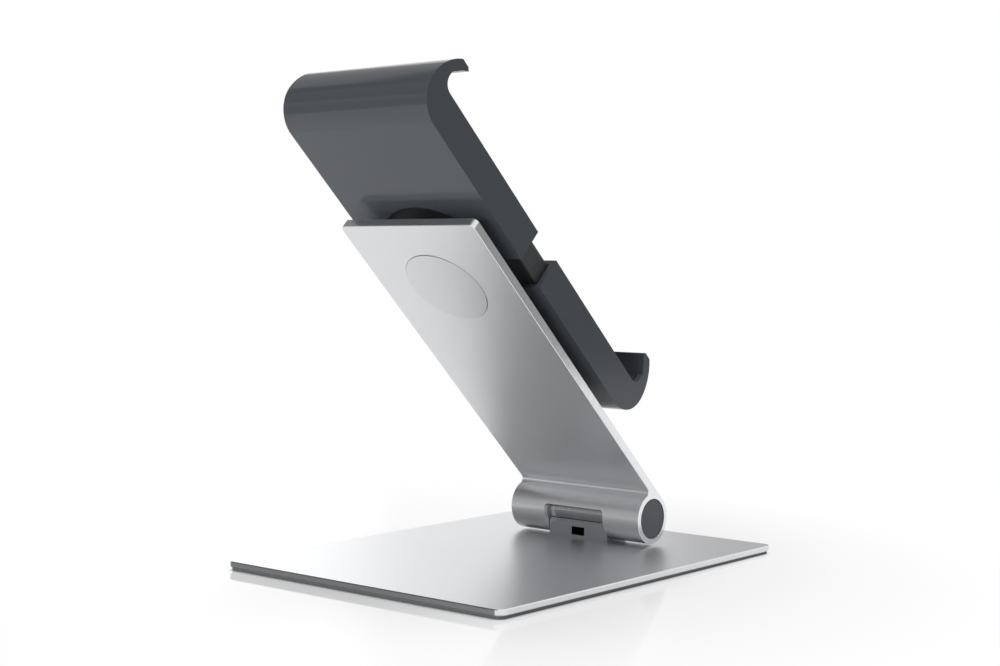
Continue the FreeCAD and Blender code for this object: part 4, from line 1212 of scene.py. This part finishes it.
@dataclass
class Jaw(SubAssembly):
    """One jaw: its hollow shell with the hook, the ribbed pad on its face and the liner in its throat.

    Reaches along the jaw count from the swivel's axis when the jaws are closed, and those out of the front
    face from the height of the hinge axis.
    """

    side: Side = Side.UPPER
    half_width: float = 40.0
    closing: float = 0.2
    rear: float = 16.9
    front: float = 32.6
    hook: float = 48.0
    round_centre: Point = (74.0, 30.9)
    round_radius: float = 14.0
    back_centre: Point = (64.7, 30.9)
    back_radius: float = 23.3
    lip_start: float = 76.2
    lip: tuple[Point, ...] = ((75.0, 46.8), (77.3, 44.9), (81.3, 39.6))
    throat_centre: Point = (76.3, 37.6)
    throat_radius: float = 5.0
    hollow_half_width: float = 37.3
    hollow_rear: float = 19.0
    hollow_front: float = 30.5
    hollow_end: float = 78.5
    hub_recess: float = 30.7
    edge_round: float = 0.5
    fine_edge: float = 0.25
    pad_half_width: float = 34.0
    pad_start: float = 6.0
    pad_end: float = 64.0
    pad_seat: float = 32.0
    pad_top: float = 33.0
    pad_corner: float = 3.0
    pad_gap: float = 0.05
    pad_edge: float = 0.15
    cutter_reach: float = 5.0
    recess_overlap: float = 0.5
    rib_pitch: float = 2.0
    rib_width: float = 1.1
    rib_height: float = 0.25
    rib_margin: float = 2.5

    def build(self) -> None:
        """Make the pieces of the jaw that show."""
        self.shell()
        self.pad()
        self.carry(f"moulded_{self.side.word}_liner", f"{self.side.word}_hook_liner", 0.0)

    def section(self) -> list[Point]:
        """Section of the jaw: a flat box with a round outer end that turns up into the hook.

        Returns:
            Points as (along, out of the front face).
        """
        tip = math.degrees(math.asin((self.hook - self.back_centre[1]) / self.back_radius))
        return [
            (self.closing, self.rear),
            *arc(self.round_centre, self.round_radius, -90.0, 0.0, steps=24),
            *arc(self.back_centre, self.back_radius, 0.0, tip, steps=24)[1:],
            (self.lip_start, self.hook),
            *self.lip,
            *arc(self.throat_centre, self.throat_radius, 0.0, -90.0, steps=12),
            (self.closing, self.front),
        ]

    def shell(self) -> None:
        """Hollow shell with softly rounded rear edges and fine edges elsewhere."""
        word = self.side.word
        work = Workpiece.prism(f"moulded_{word}_jaw", self.section(), Axis.ACROSS, -self.half_width,
                               self.half_width, self.material(f"{word}_jaw_shell"))
        end = self.half_width - HAIR
        work.ease(self.edge_round, lambda x, s, n: abs(x) > end and self.is_back(s, n), segments=4,
                  least_turn=60.0)
        seat = rounded_rectangle((-self.pad_half_width, self.pad_start), (self.pad_half_width, self.pad_end),
                                 self.pad_corner, steps=6)
        work.cut(
            Workpiece.prism("hollow", rectangle((-self.hollow_half_width, -self.cutter_reach),
                                                (self.hollow_half_width, self.hollow_end)),
                            Axis.OUT, self.hollow_rear, self.hollow_front),
            Workpiece.prism("hub_recess", circle((0, 0), self.hub_recess, LARGE_ROUND), Axis.OUT,
                            self.rear - self.cutter_reach, self.hollow_rear + self.recess_overlap),
            Workpiece.prism("pad_seat", seat, Axis.OUT, self.pad_seat, self.front + self.cutter_reach),
        )
        work.ease(self.fine_edge, lambda x, s, n: s < self.closing + HAIR or n < self.hollow_rear + HAIR
                  or not self.is_back(s, n) and n > self.front - HAIR, least_turn=25.0)
        self.fit(work.finished(self.stand.jaw_seat(self.side)), f"{word}_jaw_shell")

    def is_back(self, s: float, n: float) -> bool:
        """Tell points on the rear and round the back of the hook.

        Args:
            s: Along the jaw.
            n: Out of the front face.

        Returns:
            True on the outer line, from the rear face to the hook's top.
        """
        (round_reach, middle), back_reach = self.round_centre, self.back_centre[0]
        at_round = s > round_reach and math.hypot(s - round_reach, n - middle) > self.round_radius - NEAR
        at_hook = math.hypot(s - back_reach, n - middle) > self.back_radius - NEAR
        return n < self.rear + HAIR or (at_round if n < middle else at_hook)

    def pad(self) -> None:
        """Rubber pad with fine ribs across it."""
        word = self.side.word
        slab_top = self.pad_top - self.rib_height
        side, start, end = self.pad_half_width, self.pad_start, self.pad_end
        gap = self.pad_gap
        outline = rounded_rectangle((gap - side, start + gap), (side - gap, end - gap), self.pad_corner,
                                    steps=8)
        work = Workpiece.prism(f"moulded_{word}_pad", outline, Axis.OUT, self.pad_seat, slab_top,
                               self.material(f"{word}_face_pad"))
        work.ease(self.pad_edge, lambda x, s, n: n > slab_top - HAIR, least_turn=60.0)
        count = int((end - start - 2 * self.rib_margin) / self.rib_pitch) + 1
        ribs = RaisedRibs().lay(
            f"{word}_pad_ribs", count=count, pitch=self.rib_pitch, width=self.rib_width,
            height=self.rib_height, length=2 * (side - self.rib_margin),
            material=self.material(f"{word}_face_pad"))
        work.add(ribs, Vector((0.0, (start + end) / 2, slab_top)))
        self.fit(work.finished(self.stand.jaw_seat(self.side)), f"{word}_face_pad")


@dataclass
class Interior(SubAssembly):
    """Pieces that keep the solid's own mesh, most of them inside: screws, washers, racks and the pinion."""

    def build(self) -> None:
        """Give every node its material, as those that no piece stands for show their own mesh."""
        for name, node in self.stand.nodes.items():
            node.data.materials.clear()
            node.data.materials.append(self.material(name))
            node.data.polygons.foreach_set("material_index", [0] * len(node.data.polygons))


# Studio

@dataclass(frozen=True)
class PhotoCamera:
    """Camera of the photograph: a long lens, a little above the base, behind the stand and to one side.

    The heading is a compass bearing from +Y. All angles are in degrees.
    """

    place: tuple[float, float, float] = (-0.475647, 0.572826, 0.134999)
    heading: float = 139.9627
    dip: float = 2.5433
    roll: float = 0.3799
    lens: float = 60.48
    film_width: float = 36.0

    def build(self) -> None:
        """Make the camera and look through it."""
        camera = bpy.data.cameras.new("photo_camera")
        camera.lens = self.lens
        camera.sensor_width = self.film_width
        camera.sensor_fit = "HORIZONTAL"
        heading, dip, roll = (math.radians(angle) for angle in (self.heading, self.dip, self.roll))
        ahead = Vector((math.sin(heading) * math.cos(dip), math.cos(heading) * math.cos(dip), -math.sin(dip)))
        level = ahead.cross(Vector((0, 0, 1))).normalized()
        upright = level.cross(ahead)
        right = level * math.cos(roll) + upright * math.sin(roll)
        up = upright * math.cos(roll) - level * math.sin(roll)
        owner = linked("photo_camera", camera)
        turn = Matrix((right, up, -ahead)).transposed().to_4x4()
        owner.matrix_world = Matrix.Translation(self.place) @ turn
        bpy.context.scene.camera = owner


@dataclass(frozen=True)
class Softbox:
    """A large soft lamp, in metres and watts. Smooth surfaces mirror the room and the panels, but not it."""

    name: str
    place: tuple[float, float, float]
    width: float
    height: float
    power: float

    def build(self, target: Vector) -> None:
        """Hang the lamp and turn it to its target.

        Args:
            target: Where it shines.
        """
        lamp = bpy.data.lights.new(self.name, "AREA")
        lamp.shape = "RECTANGLE"
        lamp.size = self.width
        lamp.size_y = self.height
        lamp.energy = self.power
        owner = linked(self.name, lamp)
        owner.location = self.place
        owner.rotation_euler = (target - Vector(self.place)).to_track_quat("-Z", "Y").to_euler()
        owner.visible_glossy = False


@dataclass(frozen=True)
class Panel:
    """A plain panel out of view, which smooth surfaces mirror: a grey flag or a bright card.

    Its place is given by two angles in degrees, round from +X and up from the table, and by its distance
    from the middle of the stand. Its tone is what shows in a perfect mirror, and it thins out beyond the full
    share of its reach. It throws no shadow and gives no other light.
    """

    name: str
    compass: float
    lift: float
    distance: float
    width: float
    height: float
    tone: str
    strength: float = 1.0
    full_share: float = 0.55

    @property
    def place(self) -> Vector:
        """Middle of the panel.

        Returns:
            Its place in metres.
        """
        compass, lift = math.radians(self.compass), math.radians(self.lift)
        level = self.distance * math.cos(lift)
        return Vector((level * math.cos(compass), level * math.sin(compass), self.distance * math.sin(lift)))

    def build(self, target: Vector) -> None:
        """Stand the panel up, facing its target.

        Args:
            target: What it faces.
        """
        mesh = bpy.data.meshes.new(self.name)
        with editing(mesh) as grid:
            bmesh.ops.create_grid(grid, x_segments=1, y_segments=1, size=1.0)
        mesh.materials.append(self.cloth())
        panel = linked(self.name, mesh)
        facing = (target - self.place).to_track_quat("Z", "Y").to_matrix().to_4x4()
        scale = Matrix.Diagonal((self.width / 2, self.height / 2, 1.0, 1.0))
        panel.matrix_world = Matrix.Translation(self.place) @ facing @ scale
        panel.visible_camera = False
        panel.visible_diffuse = False
        panel.visible_shadow = False

    def cloth(self) -> bpy.types.Material:
        """Cloth that thins out towards the panel's edges, so that no hard edge is mirrored.

        Returns:
            The material.
        """
        material = bpy.data.materials.new(self.name + "_cloth")
        tree = bare_tree(material)
        place = add_node(tree, "ShaderNodeTexCoord").outputs["Object"]
        reach = add_node(tree, "ShaderNodeVectorMath", {"operation": "ABSOLUTE"}, {"Vector": place})
        parts = add_node(tree, "ShaderNodeSeparateXYZ", {}, {"Vector": reach.outputs["Vector"]})
        shares = []
        for name in ("X", "Y"):
            shares.append(add_node(tree, "ShaderNodeMapRange", {"interpolation_type": "SMOOTHSTEP"}, {
                "Value": parts.outputs[name], "From Min": self.full_share, "From Max": 1.0,
                "To Min": 1.0, "To Max": 0.0}))
        cover = add_node(tree, "ShaderNodeMath", {"operation": "MULTIPLY"}, {
            "Value": shares[0].outputs["Result"], "Value_001": shares[1].outputs["Result"]})
        clear = add_node(tree, "ShaderNodeBsdfTransparent")
        tone = add_node(tree, "ShaderNodeEmission", {}, {
            "Color": linear(self.tone), "Strength": self.strength})
        mixed = add_node(tree, "ShaderNodeMixShader", {}, {
            "Fac": cover.outputs["Value"], "Shader": clear.outputs["BSDF"],
            "Shader_001": tone.outputs["Emission"]})
        add_node(tree, "ShaderNodeOutputMaterial", {}, {"Surface": mixed.outputs["Shader"]})
        return material


@dataclass(frozen=True)
class Studio:
    """White sweep, even white surroundings, soft lamps and panels to mirror.

    The floor turns to plain white between its near and its far distance from its middle.
    """

    target: tuple[float, float, float] = (0.0, 0.0, 0.1)
    ambient: float = 0.28
    floor_radius: float = 9.0
    floor_colour: str = "#FAFAFA"
    floor_roughness: float = 0.06
    floor_ior: float = 1.2
    floor_middle: tuple[float, float, float] = (0.06, 0.05, 0.0)
    floor_near: float = 0.09
    floor_far: float = 0.3
    lamps: tuple[Softbox, ...] = (
        Softbox("overhead_softbox", (-0.1, -0.1, 1.7), 1.8, 1.8, 27.0),
        Softbox("rear_softbox", (0.1, 1.5, 0.16), 1.4, 0.3, 8.5),
    )
    panels: tuple[Panel, ...] = (
        Panel("high_flag", 6.0, 54.0, 1.35, 2.2, 1.7, "#3A3A3A"),
        Panel("high_strip", -11.0, 47.0, 1.22, 0.8, 0.36, "#B2B2B2", full_share=0.8),
        Panel("front_flag", -69.0, 14.0, 1.25, 0.62, 1.3, "#B4B4B4"),
        Panel("right_flag", -130.0, 8.0, 1.3, 1.1, 0.8, "#9A9A9A"),
        Panel("rear_flag", 53.0, 10.0, 1.3, 1.6, 0.6, "#A4A4A4"),
        Panel("rear_high_flag", 53.0, 49.0, 1.35, 1.8, 1.8, "#808080"),
        Panel("bright_panel", -33.0, 16.0, 1.25, 0.52, 0.8, WHITE, 1.5),
    )

    def build(self) -> None:
        """Set up world, floor, lamps and panels."""
        self.world()
        self.floor()
        for item in (*self.lamps, *self.panels):
            item.build(Vector(self.target))
        bpy.context.scene.view_settings.view_transform = "Standard"

    @staticmethod
    def seen(tree: bpy.types.NodeTree) -> bpy.types.NodeSocket:
        """Add nodes that tell a ray of sight, straight, mirrored or refracted, from one that gathers light.

        Args:
            tree: The tree to add them to.

        Returns:
            A socket with 1 for sight and 0 for light.
        """
        path = add_node(tree, "ShaderNodeLightPath")
        mirrored = add_node(tree, "ShaderNodeMath", {"operation": "MAXIMUM"}, {
            "Value": path.outputs["Is Glossy Ray"], "Value_001": path.outputs["Is Transmission Ray"]})
        either = add_node(tree, "ShaderNodeMath", {"operation": "MAXIMUM"}, {
            "Value": path.outputs["Is Camera Ray"], "Value_001": mirrored.outputs["Value"]})
        return either.outputs["Value"]

    def world(self) -> None:
        """White where it is seen or mirrored, and a softer level for the light that it gives."""
        world = bpy.data.worlds.new("white_room")
        tree = bare_tree(world)
        level = add_node(tree, "ShaderNodeMapRange", {}, {
            "Value": self.seen(tree), "To Min": self.ambient, "To Max": 1.0})
        back = add_node(tree, "ShaderNodeBackground", {}, {
            "Color": linear(WHITE), "Strength": level.outputs["Result"]})
        add_node(tree, "ShaderNodeOutputWorld", {}, {"Surface": back.outputs["Background"]})
        bpy.context.scene.world = world

    def floor(self) -> None:
        """Round white floor with a faint gloss, which turns to plain white far from the stand."""
        mesh = bpy.data.meshes.new("floor")
        with editing(mesh) as grid:
            bmesh.ops.create_circle(grid, cap_ends=True, radius=self.floor_radius, segments=SMALL_ROUND)
        material = bpy.data.materials.new("white_lacquered_table")
        tree = bare_tree(material)
        place = add_node(tree, "ShaderNodeTexCoord").outputs["Object"]
        distance = add_node(tree, "ShaderNodeVectorMath", {"operation": "DISTANCE"}, {
            "Vector": place, "Vector_001": self.floor_middle})
        fade = add_node(tree, "ShaderNodeMapRange", {"interpolation_type": "SMOOTHSTEP"}, {
            "Value": distance.outputs["Value"], "From Min": self.floor_near, "From Max": self.floor_far})
        share = add_node(tree, "ShaderNodeMath", {"operation": "MULTIPLY"}, {
            "Value": fade.outputs["Result"], "Value_001": self.seen(tree)})
        surface = add_node(tree, "ShaderNodeBsdfPrincipled", {}, {
            "Base Color": linear(self.floor_colour), "Roughness": self.floor_roughness,
            "IOR": self.floor_ior})
        white = add_node(tree, "ShaderNodeEmission", {}, {"Color": linear(WHITE), "Strength": 1.0})
        mixed = add_node(tree, "ShaderNodeMixShader", {}, {
            "Fac": share.outputs["Value"], "Shader": surface.outputs["BSDF"],
            "Shader_001": white.outputs["Emission"]})
        add_node(tree, "ShaderNodeOutputMaterial", {}, {"Surface": mixed.outputs["Shader"]})
        mesh.materials.append(material)
        linked("floor", mesh)


def corners(box: Iterable[Iterable[float]]) -> list[list[float]]:
    """Corners of a box as plain lists."""
    return [[float(part) for part in corner] for corner in box]


def main() -> None:
    """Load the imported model, dress it and light it."""
    logging.basicConfig(level=logging.INFO, format="%(name)s: %(message)s")
    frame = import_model()
    stand = StandFrame.read(frame)
    palette = Palette()
    PhotoCamera().build()
    Interior(stand, palette).build()
    for group in (Base(stand, palette), Arm(stand, palette), Holder(stand, palette),
                  Jaw(stand, palette, Side.UPPER), Jaw(stand, palette, Side.LOWER)):
        LOG.info("%s", type(group).__name__)
        group.build()
    Studio().build()


if __name__ == "__main__":
    main()
